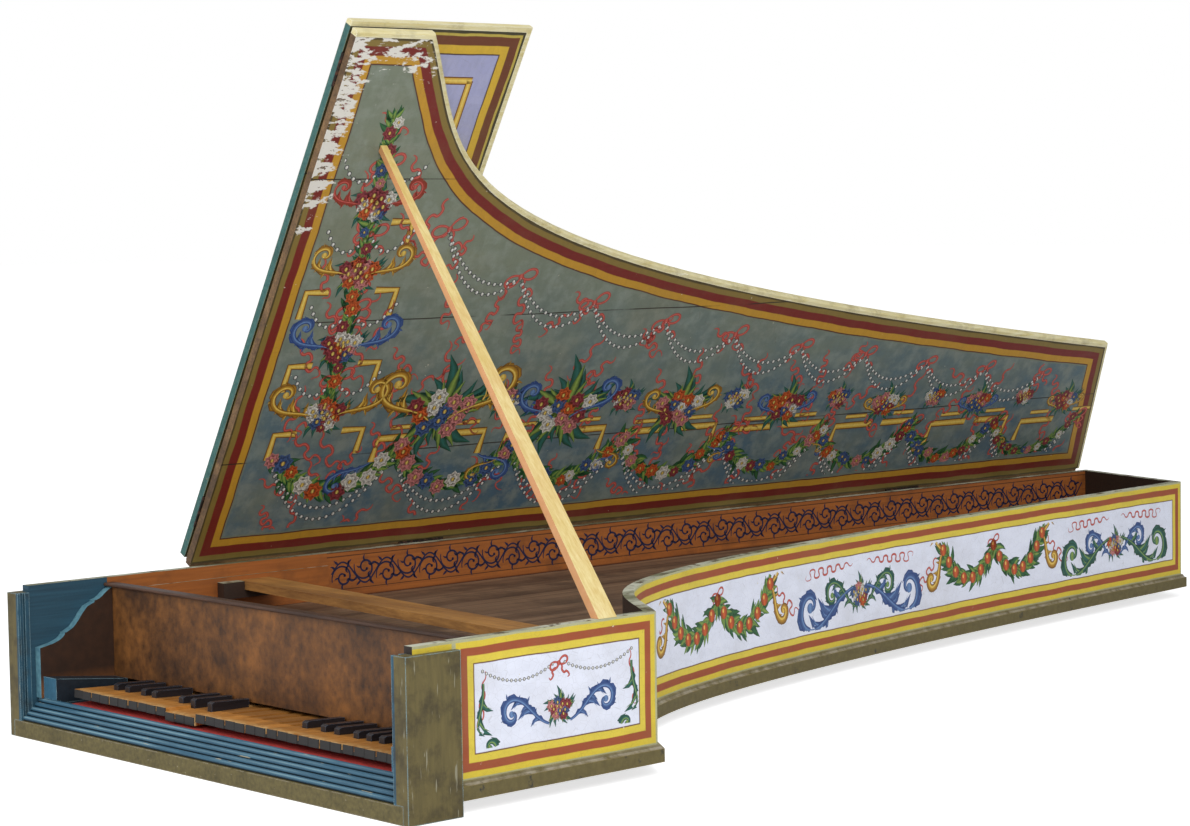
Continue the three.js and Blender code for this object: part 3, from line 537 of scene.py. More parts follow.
@dataclass(frozen=True)
class SpineWall(BandedWall):
    """The spine, inside: teal in the keywell, orange-brown with thin lines behind, dark on the cleat."""

    keywell_end: float = 0.134
    lining_end: float = 0.511
    cleat_face: float = -0.4095

    def inner_colour(self, s: Shader) -> Socket:
        """The colour along the spine's inner face.

        Args:
            s: the material being built

        Returns:
            The colour's socket.
        """
        depth = s.axis(s.place, "Y")
        streaks = s.noise(s.stretched(s.place, (1, 0.04, 1)), 200, 6)
        stain = s.mix(streaks, "#7a421c", "#c4732c")
        dark, thin, warm = "#4a2a16", "#1c1620", "#ffffff"
        borders = [(0.0, dark), (0.05, warm), (0.16, warm), (0.175, thin), (0.19, warm)]
        borders += [(0.88, warm), (0.9, thin), (0.915, warm), (0.97, warm), (1.0, dark)]
        lines = s.put("ValToRGB", {"Fac": s.ramp(s.axis(s.place, "Z"), 0.137, CASE_TOP)}, stops=borders)
        behind = s.math("GREATER_THAN", depth, self.lining_end)
        lined = s.mix(behind, stain, lines, blend_type="MULTIPLY")
        cleat = s.math("GREATER_THAN", s.axis(s.place, "X"), self.cleat_face)
        keywell = s.math("LESS_THAN", depth, self.keywell_end)
        teal = s.mix(streaks, "#16303f", "#2f5c70")
        soil = s.patches(s.place, 0.06, 0.52, 0.8, 0.6)
        return s.layered(lined, [("#4b2f1c", soil), ("#33231a", cleat), (teal, keywell)])


@dataclass(frozen=True)
class BandedPanel(Finish):
    """A painted board with bands that follow its outline, read from the piece's own edge distance, and
    painted shade in patches over its field towards the hinge.
    """

    bands: BandScheme
    # deep: the colour of the painted shade over the field towards the hinge.
    deep: str
    cloud: str
    ground: str
    flaking: float = 0.0
    joints: tuple[float, ...] = (0.172, 0.4, 0.627)
    shade_from: float = 0.1

    def lay(self, s: Shader) -> bpy.types.Material:
        """Lays the panel's nodes.

        Args:
            s: the material being built

        Returns:
            The finished material.
        """
        place = s.put("UVMap", uv_map="board")
        across = s.axis(place, "Y")
        edge = s.put("Attribute", out="Fac", attribute_name="edge")
        distance = s.math("ADD", edge, s.spread(s.noise(place, 12, 3), -3 * MM, 3 * MM))
        inner = s.ramp(distance, (self.bands.ends[-1] + 1) * MM, 43.8 * MM)
        # Painted shade: from 0.5 m up the board down to the shade_from line, the field turns to the deep
        # colour in patches.
        depth = s.ramp(across, 0.5, self.shade_from)
        tone = s.times(depth, s.patches(place, 0.16, 0.25, 0.6), inner)
        warm = s.times(s.patches(place, 0.22, 0.5, 0.75, 0.5, stretch=(0.6, 1.4, 1)), inner)
        soft = s.times(s.patches(place, 0.03, 0.45, 0.62, 0.45), inner)
        layers = [(self.deep, tone), ("#8d8a6c", warm), (self.cloud, soft)]
        colour = aged_paint(s, s.layered(self.bands.paint(s, distance), layers), place)
        colour = self.split_joints(s, colour, place, across)
        if self.flaking:
            colour = self.lost_paint(s, colour, place, across)
        streaks = s.noise(s.stretched(place, (0.05, 1, 1)), 220, 6)
        return s.finish(colour, s.spread(streaks, 0.46, 0.68), streaks, 0.25 * MM)

    def split_joints(self, s: Shader, colour: Value, place: Socket, across: Socket) -> Socket:
        """Draws the opened joints between the boards as thin dark lines that come and go.

        Args:
            s: the material being built
            colour: the colour so far
            place: the board's own coordinates
            across: the coordinate across the grain

        Returns:
            The colour with its joints.
        """
        line = s.math("ADD", across, s.spread(s.noise(place, 3), -4 * MM, 4 * MM))
        broken = s.patches(place, 0.25, 0.4, 0.5)
        for joint in self.joints:
            off = s.math("ABSOLUTE", s.math("SUBTRACT", line, joint))
            colour = s.mix(s.times(s.ramp(off, 1.3 * MM, 0.5 * MM), broken), colour, "#2a2018")
        return colour

    def lost_paint(self, s: Shader, colour: Value, place: Socket, across: Socket) -> Socket:
        """Shows white ground and bare wood where the border has flaked near the front of the board.

        Args:
            s: the material being built
            colour: the colour so far
            place: the board's own coordinates
            across: the coordinate across the grain

        Returns:
            The colour with its losses.
        """
        front = s.ramp(s.axis(place, "X"), 0.375, 0.31)
        high, cheek = s.ramp(across, 0.42, 0.62), s.ramp(across, 0.72, 0.8, 0, 0.78)
        where = s.times(s.math("MAXIMUM", s.times(front, high), cheek), self.flaking)
        noise = s.math("ADD", s.noise(s.stretched(place, (0.6, 1.5, 1)), 48, 6, 0.66), where)
        ground, wood = s.ramp(noise, 0.80, 0.83), s.ramp(noise, 0.97, 0.99)
        return s.layered(colour, [(self.ground, ground), ("#6e5a44", wood)])


@dataclass(frozen=True)
class BrushedPigment(Finish):
    """Tempera laid with a brush: the piece's own pigment colour, slightly streaked and rubbed thin."""

    name: str = "tempera_brushwork"

    def lay(self, s: Shader) -> bpy.types.Material:
        """Lays the brushwork's nodes.

        Args:
            s: the material being built

        Returns:
            The finished material.
        """
        pigment = s.put("Attribute", out="Color", attribute_name="pigment")
        value = s.spread(s.noise(s.place, 260, 4), 0.7, 1.25)
        return s.finish(s.put("HueSaturation", {"Color": pigment, "Value": value}), 0.55, None)


@dataclass(frozen=True)
class ForgedIron(Finish):
    """Hand-forged iron with a brown-black skin and brighter rubbed spots."""

    name: str = "forged_iron"

    def lay(self, s: Shader) -> bpy.types.Material:
        """Lays the iron's nodes.

        Args:
            s: the material being built

        Returns:
            The finished material.
        """
        hammer = s.put("TexVoronoi", {"Vector": s.place, "Scale": 180.0})
        rust = s.patches(s.place, 0.008, 0.48, 0.62)
        colour = s.mix(rust, "#35302c", "#5a3524")
        return s.finish(colour, s.spread(rust, 0.42, 0.8), hammer, metallic=s.spread(rust, 0.9, 0.25))


@dataclass(frozen=True)
class WovenCloth(Finish):
    """Red woollen cloth: a plain weave drawn at 1 mm, coarser than the real one so that it shows."""

    name: str = "red_woollen_cloth"
    thread: float = 1.0 * MM

    def lay(self, s: Shader) -> bpy.types.Material:
        """Lays the cloth's nodes.

        Args:
            s: the material being built

        Returns:
            The finished material.
        """
        links = {"Vector": s.place, "Scale": 0.3 / self.thread}
        weave = s.times(*(s.put("TexWave", links, out="Fac", bands_direction=way) for way in "XY"))
        return s.finish(s.mix(s.noise(s.place, 120, 5), "#8c1f1c", "#d2433a"), 0.95, weave)


@dataclass(frozen=True)
class KeyCover(Finish):
    """A natural's top of worn boxwood, with dark fronts and a rubbed, paler playing edge.

    The front face is told by its normal, the rubbed edge by its distance from the front, and each
    key differs a little because the tone is read once for each key's width.
    """

    name: str = "worn_boxwood_keys"
    front_y: float = 0.0305
    pitch: float = 0.02236
    first: float = -0.3444

    def lay(self, s: Shader) -> bpy.types.Material:
        """Lays the key cover's nodes.

        Args:
            s: the material being built

        Returns:
            The finished material.
        """
        streaks = s.noise(s.stretched(s.place, (1, 0.06, 1)), 420, 5, 0.7)
        base = s.mix(s.ramp(streaks, 0.3, 0.7), "#9c5f22", "#dc9a48")
        from_first = s.math("ADD", s.axis(s.place, "X"), -self.first)
        index = s.math("FLOOR", s.times(from_first, 1 / self.pitch))
        chance = s.put("TexWhiteNoise", {"W": index}, out="Value", noise_dimensions="1D")
        base = s.put("HueSaturation", {"Color": base, "Value": s.spread(chance, 0.82, 1.12)})
        depth = s.axis(s.place, "Y")
        near = s.ramp(depth, self.front_y + 0.02, self.front_y)
        layers = [
            ("#6b4420", s.patches(s.place, 0.02, 0.55, 0.8, 0.5)),
            ("#7a5228", s.ramp(depth, 0.070, 0.08, 0, 0.6)),
            ("#edc98a", s.times(near, s.patches(s.place, 0.008, 0.4, 0.6))),
            ("#16120f", s.faces(PLAYER)),
        ]
        return s.finish(s.layered(base, layers), 0.42, streaks, 0.12 * MM, coat=0.15)


@dataclass(frozen=True)
class BlackBlock(Finish):
    """An accidental: black-stained pear or ebony over the bare lever, its rubbed edges greyish blue.

    The bare lever lies behind the block and below the plane that tilts about the balance pin.
    """

    name: str = "black_stained_hardwood"
    lever_top: float = 0.0643
    tilt: float = 0.0402
    balance: float = 0.181
    block_back: float = 0.1307

    def lay(self, s: Shader) -> bpy.types.Material:
        """Lays the accidental's nodes.

        Args:
            s: the material being built

        Returns:
            The finished material.
        """
        streaks = s.noise(s.stretched(s.place, (1, 0.06, 1)), 380, 4)
        black = s.mix(s.rubbed(1.2 * MM, 0.55), s.mix(streaks, "#0e0d10", "#2a282d"), "#56657a")
        depth = s.axis(s.place, "Y")
        plane = s.math("MULTIPLY_ADD", depth, self.tilt, s.axis(s.place, "Z"))
        lever = s.math("LESS_THAN", plane, self.lever_top + self.balance * self.tilt)
        behind = s.times(s.math("GREATER_THAN", depth, self.block_back), lever)
        colour = s.mix(behind, black, s.mix(streaks, "#8a6233", "#c0945a"))
        return s.finish(colour, 0.38, streaks, 0.1 * MM, coat=0.2)


@dataclass(frozen=True)
class CornerPost(Finish):
    """A corner post: olive like the rail on its outer strip, blue on all that looks into the keywell."""

    name: str = "olive_and_blue_corner_post"
    olive_from: float = 0.418

    def lay(self, s: Shader) -> bpy.types.Material:
        """Lays the post's nodes.

        Args:
            s: the material being built

        Returns:
            The finished material.
        """
        grain = s.stretched(s.place, (1, 1, 0.12))
        strokes = s.noise(grain, 170, 6, 0.65)
        across = s.math("ABSOLUTE", s.axis(s.place, "X"))
        layers = [
            (s.mix(strokes, "#4d4526", "#7a6c3c"), s.math("GREATER_THAN", across, self.olive_from)),
            ("#2b2416", s.patches(s.place, 0.03, 0.45, 0.65, 0.6)),
            ("#8f8a72", s.patches(grain, 0.006, 0.66, 0.7, detail=3)),
            ("#86a5ad", s.rubbed(2.5 * MM, 0.62)),
        ]
        return s.finish(s.layered(s.mix(strokes, "#173545", "#33657c"), layers), 0.55, strokes)


@dataclass(frozen=True)
class ReededMoulding(Finish):
    """The reeded moulding: blue paint darkened in the grooves by painted shade with grime, and paled along
    each reed's crest by a painted highlight with rubbed wear.

    The place on a reed is the distance down the slope from the moulding's upper edge, counted in reeds.
    """

    name: str = "blue_paint_on_reeds"
    top_edge: tuple[float, float, float] = (0.0, 0.025, 0.050)
    slope: tuple[float, float, float] = (0.0, -0.735, -0.678)
    run: float = 0.0409
    reeds: int = 5

    def lay(self, s: Shader) -> bpy.types.Material:
        """Lays the moulding's nodes.

        Args:
            s: the material being built

        Returns:
            The finished material.
        """
        grain = s.stretched(s.place, (0.08, 1, 1))
        strokes = s.noise(grain, 190, 6, 0.65)
        down = s.vector("DOT_PRODUCT", s.vector("SUBTRACT", s.place, self.top_edge), self.slope)
        phase = s.math("FRACT", s.times(down, self.reeds / self.run))
        edge = s.math("ABSOLUTE", s.math("SUBTRACT", phase, 0.5))
        layers = [
            # Painted shade with grime: near black where the place on a reed nears a groove.
            ("#0b151d", s.ramp(edge, 0.3, 0.46)),
            # Painted highlight with rubbed wear: pale blue along each crest, in patches.
            ("#7fa3ae", s.times(s.ramp(edge, 0.22, 0.04), s.patches(grain, 0.02, 0.36, 0.6))),
            ("#b9b39a", s.patches(grain, 0.005, 0.69, 0.72, detail=3)),
        ]
        return s.finish(s.layered(s.mix(strokes, "#1c4158", "#3f7088"), layers), 0.5, strokes)


@dataclass(frozen=True)
class KeyBlocks(Finish):
    """The key frame and its end blocks: blue fronts, near black elsewhere, with rubbed pale arrises."""

    name: str = "blue_and_black_key_blocks"

    def lay(self, s: Shader) -> bpy.types.Material:
        """Lays the blocks' nodes.

        Args:
            s: the material being built

        Returns:
            The finished material.
        """
        strokes = s.noise(s.place, 150, 6, 0.65)
        layers = [(s.mix(strokes, "#1f4860", "#3f7690"), s.faces(PLAYER)), ("#8aa9b2", s.rubbed(2 * MM, 0.6))]
        return s.finish(s.layered(s.mix(strokes, "#0c1218", "#22303c"), layers), 0.5, strokes, 0.5 * MM)


@dataclass(frozen=True)
class BaseMoulding(Finish):
    """Olive-painted base moulding with rubbed arrises and a painted highlight, pale grey in patches, on the
    faces that turn upward.
    """

    name: str = "olive_base_moulding"

    def lay(self, s: Shader) -> bpy.types.Material:
        """Lays the moulding's nodes.

        Args:
            s: the material being built

        Returns:
            The finished material.
        """
        strokes = s.noise(s.place, 120, 6, 0.65)
        # Painted highlight: faces that turn upward go pale grey, in patches.
        cove_highlight = s.times(s.ramp(s.axis(s.facing, "Z"), 0.1, 0.5), s.patches(s.place, 0.018, 0.35, 0.6))
        layers = [("#a39a86", cove_highlight), ("#22262c", s.patches(s.place, 0.03, 0.62, 0.7))]
        layers.append(("#8f7f4e", s.rubbed(2.5 * MM, 0.6)))
        return s.finish(s.layered(s.mix(strokes, "#4c4425", "#7e7142"), layers), 0.62, strokes)


@dataclass(frozen=True)
class Bracket(Finish):
    """A keywell bracket: dark mottled brown on its face, blue along its ogee edge."""

    name: str = "painted_bracket"

    def lay(self, s: Shader) -> bpy.types.Material:
        """Lays the bracket's nodes.

        Args:
            s: the material being built

        Returns:
            The finished material.
        """
        mottle = s.noise(s.place, 70, 7, 0.7)
        low = s.times(s.ramp(s.axis(s.place, "Z"), 0.085, 0.06), mottle)
        rim = s.math("LESS_THAN", s.math("ABSOLUTE", s.axis(s.facing, "X")), 0.7)
        layers = [("#a0622c", low), (s.mix(s.noise(s.place, 160, 5), "#2b5a72", "#7db0ba"), rim)]
        return s.finish(s.layered(s.mix(mottle, "#17110e", "#4a2e1c"), layers), 0.55, mottle)


@dataclass(frozen=True)
class Wrestplank(Finish):
    """Walnut wrestplank with blued iron tuning pins, told apart by their height above the plank.

    The pins stand in front of a line that slants across the plank.
    """

    name: str = "walnut_wrestplank_and_iron_pins"
    plank_top: float = 0.1375
    pin_slant: float = 0.1016
    pin_line: float = 0.245

    def lay(self, s: Shader) -> bpy.types.Material:
        """Lays the wrestplank's nodes.

        Args:
            s: the material being built

        Returns:
            The finished material.
        """
        streaks = s.noise(s.stretched(s.place, (0.05, 1, 1)), 200, 5)
        slanted = s.math("MULTIPLY_ADD", s.axis(s.place, "X"), self.pin_slant, s.axis(s.place, "Y"))
        raised = s.math("GREATER_THAN", s.axis(s.place, "Z"), self.plank_top)
        pins = s.times(s.math("LESS_THAN", slanted, self.pin_line), raised)
        colour = s.mix(pins, s.mix(streaks, "#4a3322", "#8a6844"), "#3b3d42")
        return s.finish(colour, s.spread(pins, 0.6, 0.38), streaks, 0.2 * MM, metallic=pins)


@dataclass
class FlatFace:
    """A flat face that is painted: a corner and two directions, in the row frame, in metres."""

    corner: np.ndarray
    along: np.ndarray
    up: np.ndarray

    def place(self, flat: np.ndarray, lift: float) -> np.ndarray:
        """Puts flat points on the face: corner + along times a + up times b + normal times lift.

        Args:
            flat: points in millimetres, the last axis holding a and b
            lift: how far they stand off the face, in metres

        Returns:
            The points in metres.
        """
        normal = np.cross(self.along, self.up)
        spread = flat[..., :1] * MM * self.along + flat[..., 1:] * MM * self.up
        return self.corner + spread + normal * lift


@dataclass
class BentFace:
    """The bentside's outer face: distance along the curve and height."""

    samples: int = 400
    track: np.ndarray = field(init=False)
    reach: np.ndarray = field(init=False)
    outward: np.ndarray = field(init=False)

    def __post_init__(self) -> None:
        """Works out the curve, its running length and its outward directions."""
        self.track = bentside_between(CHEEK_END, TAIL_CORNER, self.samples)
        steps = np.linalg.norm(np.diff(self.track, axis=0), axis=1)
        self.reach = np.concatenate([[0], np.cumsum(steps)]) / MM
        heading = np.gradient(self.track, axis=0)
        heading /= np.linalg.norm(heading, axis=1, keepdims=True)
        self.outward = np.stack([heading[:, 1], -heading[:, 0]], axis=1)

    def place(self, flat: np.ndarray, lift: float) -> np.ndarray:
        """Puts flat points on the curve: the point at running length a, moved out by lift, at height b.

        Args:
            flat: points in millimetres, the last axis holding a and b
            lift: how far they stand off the face, in metres

        Returns:
            The points in metres.
        """
        along, height = flat[..., 0], flat[..., 1] * MM
        columns = []
        for axis in (0, 1):
            base = np.interp(along, self.reach, self.track[:, axis])
            out = np.interp(along, self.reach, self.outward[:, axis])
            columns.append(base + out * lift)
        return np.stack([*columns, height], axis=-1) + CASE_SHIFT


def bentside_between(start: tuple[float, float], end: tuple[float, float], count: int) -> np.ndarray:
    """The bentside's curve between two corners, a cubic Bezier with the case's own handles.

    Args:
        start: the corner at the cheek
        end: the corner at the tail
        count: how many points to work out

    Returns:
        The points, one to a row.
    """
    t = np.linspace(0, 1, count)[:, None]
    a, d = np.array(start), np.array(end)
    b, c = a + START_HANDLE, d - END_HANDLE
    return a * (1 - t) ** 3 + 3 * b * t * (1 - t) ** 2 + 3 * c * t**2 * (1 - t) + d * t**3


def drawn_in(points: np.ndarray, inset: float, closed: bool) -> np.ndarray:
    """Moves a line of points to its left along the mitre directions of its corners.

    A corner's mitre is the sum of its two edge normals over one plus their dot product.

    Args:
        points: the line's points
        inset: how far it moves
        closed: whether the last point is joined to the first

    Returns:
        The moved points.
    """
    before = points - np.roll(points, 1, axis=0)
    after = np.roll(points, -1, axis=0) - points
    if not closed:
        before[0], after[-1] = after[0], before[-1]
    normals = []
    for edge in (before, after):
        edge = edge / np.linalg.norm(edge, axis=1, keepdims=True)
        normals.append(np.stack([-edge[:, 1], edge[:, 0]], axis=1))
    first, second = normals
    return points + (first + second) / (1 + np.sum(first * second, axis=1, keepdims=True)) * inset


def grid_faces(copies: int, rows: int, columns: int) -> np.ndarray:
    """Quads of several separate grids whose points are numbered row by row.

    Args:
        copies: how many grids there are
        rows: points along each grid
        columns: points across it

    Returns:
        Four point numbers for each quad.
    """
    corner = (np.arange(rows - 1)[:, None] * columns + np.arange(columns - 1)).ravel()
    quads = np.stack([corner, corner + 1, corner + columns + 1, corner + columns], axis=1)
    return (np.arange(copies)[:, None, None] * rows * columns + quads[None]).reshape(-1, 4)


def add_piece(
    name: str, mesh: bpy.types.Mesh, body: str, replaced: Sequence[str] = ()
) -> bpy.types.Object:
    """Links a finished mesh, parents it to its body's empty and hides the CAD nodes it stands in for.

    Args:
        name: the piece's name
        mesh: its mesh, already in place
        body: the CAD body it moves with
        replaced: CAD nodes it is shown in place of

    Returns:
        The new object.
    """
    piece = bpy.data.objects.new(name, mesh)
    bpy.context.scene.collection.objects.link(piece)
    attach(piece, body)
    if replaced:
        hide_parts(*replaced)
    log.info("%s: %d faces", name, len(mesh.polygons))
    return piece


@dataclass(frozen=True)
class Window:
    """The painted part of a face: a span along it and a span of height, in millimetres."""

    first: float
    last: float
    low: float
    high: float

    def __call__(self, p: np.ndarray) -> np.ndarray:
        """Tells which flat points lie inside."""
        along, height = p[:, 0], p[:, 1]
        return (along > self.first) & (along < self.last) & (height > self.low) & (height < self.high)


class Brush:
    """Collects painted shapes on one face and turns them into one piece.

    Every shape is a batch of strips. A strip is a line of centre points with a half width at each, and
    its grid has three points across: left edge, middle and right edge.
    """

    LIFT = 0.10 * MM
    STEP = 0.02 * MM

    def __init__(self, face: FlatFace | BentFace, seed: int, field: Callable) -> None:
        """Starts with nothing painted.

        Args:
            face: the face the shapes are painted on
            seed: fixes the order of random draws
            field: tells which flat points lie inside the painted field; nothing is painted over its edge
        """
        self.face = face
        self.field = field
        self.random = np.random.default_rng(seed)
        self.points: list[np.ndarray] = []
        self.colours: list[np.ndarray] = []
        self.faces: list[np.ndarray] = []
        self.count = 0

    def strips(self, centre: np.ndarray, half: np.ndarray, middle: Colour, edge: Colour, order: int) -> None:
        """Paints a batch of strips.

        Args:
            centre: copies by rows by two, in millimetres
            half: copies by rows, half of the width in millimetres
            middle: the colour along the middle, one or one for each copy
            edge: the colour along both edges, likewise
            order: how many layers of paint lie under it
        """
        copies, rows = half.shape
        heading = np.gradient(centre, axis=1)
        heading /= np.maximum(np.linalg.norm(heading, axis=2, keepdims=True), 1e-9)
        rightward = np.stack([heading[..., 1], -heading[..., 0]], axis=2)
        offsets = np.array([-1.0, 0.0, 1.0])[None, None, :, None]
        grid = centre[:, :, None, :] + rightward[:, :, None, :] * half[:, :, None, None] * offsets
        placed = self.face.place(grid, self.LIFT + self.STEP * order)
        shade = np.empty((copies, rows, 3, 4))
        shade[:, :, 0::2, :] = np.broadcast_to(as_rows(edge), (copies, 4))[:, None, None, :]
        shade[:, :, 1, :] = np.broadcast_to(as_rows(middle), (copies, 4))[:, None, :]
        self.points.append(placed.reshape(-1, 3))
        self.colours.append(shade.reshape(-1, 4))
        quads = grid_faces(copies, rows, 3)
        kept = self.field(grid.reshape(-1, 2))[quads].all(axis=1)
        self.faces.append(quads[kept] + self.count)
        self.count += copies * rows * 3

    def line(
        self, path: np.ndarray, width: float, middle: Colour, edge: Colour, order: int, taper: float = 0.6
    ) -> None:
        """Paints one stroke along a path, its width swelling in the middle and tapering to its ends.

        Args:
            path: its points in millimetres
            width: the greatest width
            middle: the colour along the middle
            edge: the colour along the edges
            order: how many layers of paint lie under it
            taper: how much thinner the ends are, from zero to one
        """
        t = np.linspace(0, 1, len(path))
        half = width / 2 * (1 - taper * np.abs(2 * t - 1) ** 3)
        self.strips(path[None], half[None], middle, edge, order)

    def leaves(
        self, base: np.ndarray, angle: Amount, length: Amount, width: Amount, middle: Colour, edge: Colour,
        order: int, bend: Amount = 0.0, rows: int = 5
    ) -> None:
        """Paints pointed leaves or petals.

        A leaf's line runs from its base at its angle and bends by the square of the distance, and its
        half width is the sine of pi times t to the power 0.7.

        Args:
            base: copies by two, in millimetres
            angle: the direction of each, in radians
            length: the length of each
            width: the width of each
            middle: the colour along the midrib
            edge: the colour along the edges
            order: how many layers of paint lie under them
            bend: how far a tip leans aside, in radians
            rows: points along each
        """
        base = np.atleast_2d(base)
        each = (np.broadcast_to(value, len(base)).astype(float) for value in (angle, length, width, bend))
        angle, length, width, bend = each
        t = np.linspace(0, 1, rows)
        turn = angle[:, None] + bend[:, None] * t
        way = np.stack([np.cos(turn), np.sin(turn)], axis=2)
        centre = base[:, None, :] + way * (length[:, None] * t)[..., None]
        half = width[:, None] / 2 * np.sin(np.pi * np.clip(t, 0.03, 0.985) ** 0.7)
        self.strips(centre, half, middle, edge, order)

    def discs(
        self, centre: Point, radius: Amount, middle: Colour, edge: Colour, order: int, rows: int = 6
    ) -> None:
        """Paints round spots: strips whose half width is the radius times the cosine of the latitude.

        Args:
            centre: copies by two, in millimetres
            radius: the radius of each
            middle: the colour down the middle
            edge: the colour at the rim
            order: how many layers of paint lie under them
            rows: points along each
        """
        centre = np.atleast_2d(centre)
        radius = np.broadcast_to(radius, len(centre)).astype(float)
        latitude = np.linspace(-1.25, 1.25, rows)
        rise = radius[:, None] * np.sin(latitude)
        middle_line = centre[:, None, :] + np.stack([np.zeros_like(rise), rise], axis=2)
        self.strips(middle_line, radius[:, None] * np.cos(latitude), middle, edge, order)

    def piece(self, name: str, body: str, slot: str, material: bpy.types.Material) -> bpy.types.Object:
        """Joins all that is painted into one piece.

        Args:
            name: the piece's name
            body: the CAD body it moves with
            slot: not used
            material: the brushwork's finish

        Returns:
            The new object.
        """
        mesh = bpy.data.meshes.new(name)
        mesh.from_pydata(np.concatenate(self.points).tolist(), [], np.concatenate(self.faces).tolist())
        pigment = mesh.color_attributes.new("pigment", "FLOAT_COLOR", "POINT")
        pigment.data.foreach_set("color", np.concatenate(self.colours).astype(np.float32).ravel())
        mesh.materials.append(material)
        return add_piece(name, mesh, body)


def as_rows(colour: Colour) -> np.ndarray:
    """Colours as rows of four numbers, whether given as pigments, tuples or arrays.

    Args:
        colour: the colour so far

    Returns:
        One row of four numbers for each colour.
    """
    if isinstance(colour, str):
        colour = linear(colour)
    return np.atleast_2d(np.array(colour, float))


def pick(random: np.random.Generator, pigments: Sequence[str], count: int) -> np.ndarray:
    """Draws a pigment for each copy, as rows of four numbers."""
    return np.array([linear(p) for p in pigments])[random.integers(0, len(pigments), count)]


def arc_steps(path: np.ndarray, spacing: float) -> np.ndarray:
    """Points at equal running distances along a path, worked out by interpolation of its length.

    Args:
        path: the points of the path
        spacing: the distance wanted between points

    Returns:
        The evenly spaced points.
    """
    reach = np.concatenate([[0], np.cumsum(np.linalg.norm(np.diff(path, axis=0), axis=1))])
    count = max(2, int(round(reach[-1] / spacing)) + 1)
    wanted = np.linspace(0, reach[-1], count)
    return np.stack([np.interp(wanted, reach, path[:, axis]) for axis in (0, 1)], axis=1)


def swag(start: Point, end: Point, sag: float, count: int = 40) -> np.ndarray:
    """A hanging line: the straight line between two points, lowered by sag times 4 t (1 - t).

    Args:
        start: where the line begins
        end: where the line ends
        sag: how far its middle hangs
        count: how many points to work out

    Returns:
        The line's points.
    """
    t = np.linspace(0, 1, count)[:, None]
    line = np.array(start, float) * (1 - t) + np.array(end, float) * t
    line[:, 1] -= sag * 4 * t[:, 0] * (1 - t[:, 0])
    return line


def away(hand: int) -> float:
    """The direction that points outward on a hand: zero on the right and pi on the left."""
    return math.pi / 2 - hand * math.pi / 2


def scroll(
    start: Point, heading: float, size: float, hand: int, turns: float = 1.2, lean: float = 0.7
) -> np.ndarray:
    """A slender scroll that first leans away, runs on and then curls up into a spiral.

    The direction is the heading, less hand times lean times the sine of pi times 2 t over the first
    half, plus hand times turns whole turns times t to the power 2.2. Each step shrinks as 1 - 0.85 t.

    Args:
        start: where it begins, in millimetres
        heading: its first direction, in radians
        size: the scroll's running length in millimetres
        hand: one to curl left and minus one to curl right
        turns: how far it winds
        lean: how far it first leans the other way, in radians

    Returns:
        The points of its line.
    """
    t = np.linspace(0, 1, 64)
    away = lean * np.sin(np.pi * np.minimum(2 * t, 1))
    turn = heading + hand * (turns * 2 * np.pi * t**2.2 - away)
    step = (1 - 0.85 * t) * size / len(t)
    moves = np.stack([np.cos(turn) * step, np.sin(turn) * step], axis=1)
    return np.array(start, float) + np.cumsum(moves, axis=0)


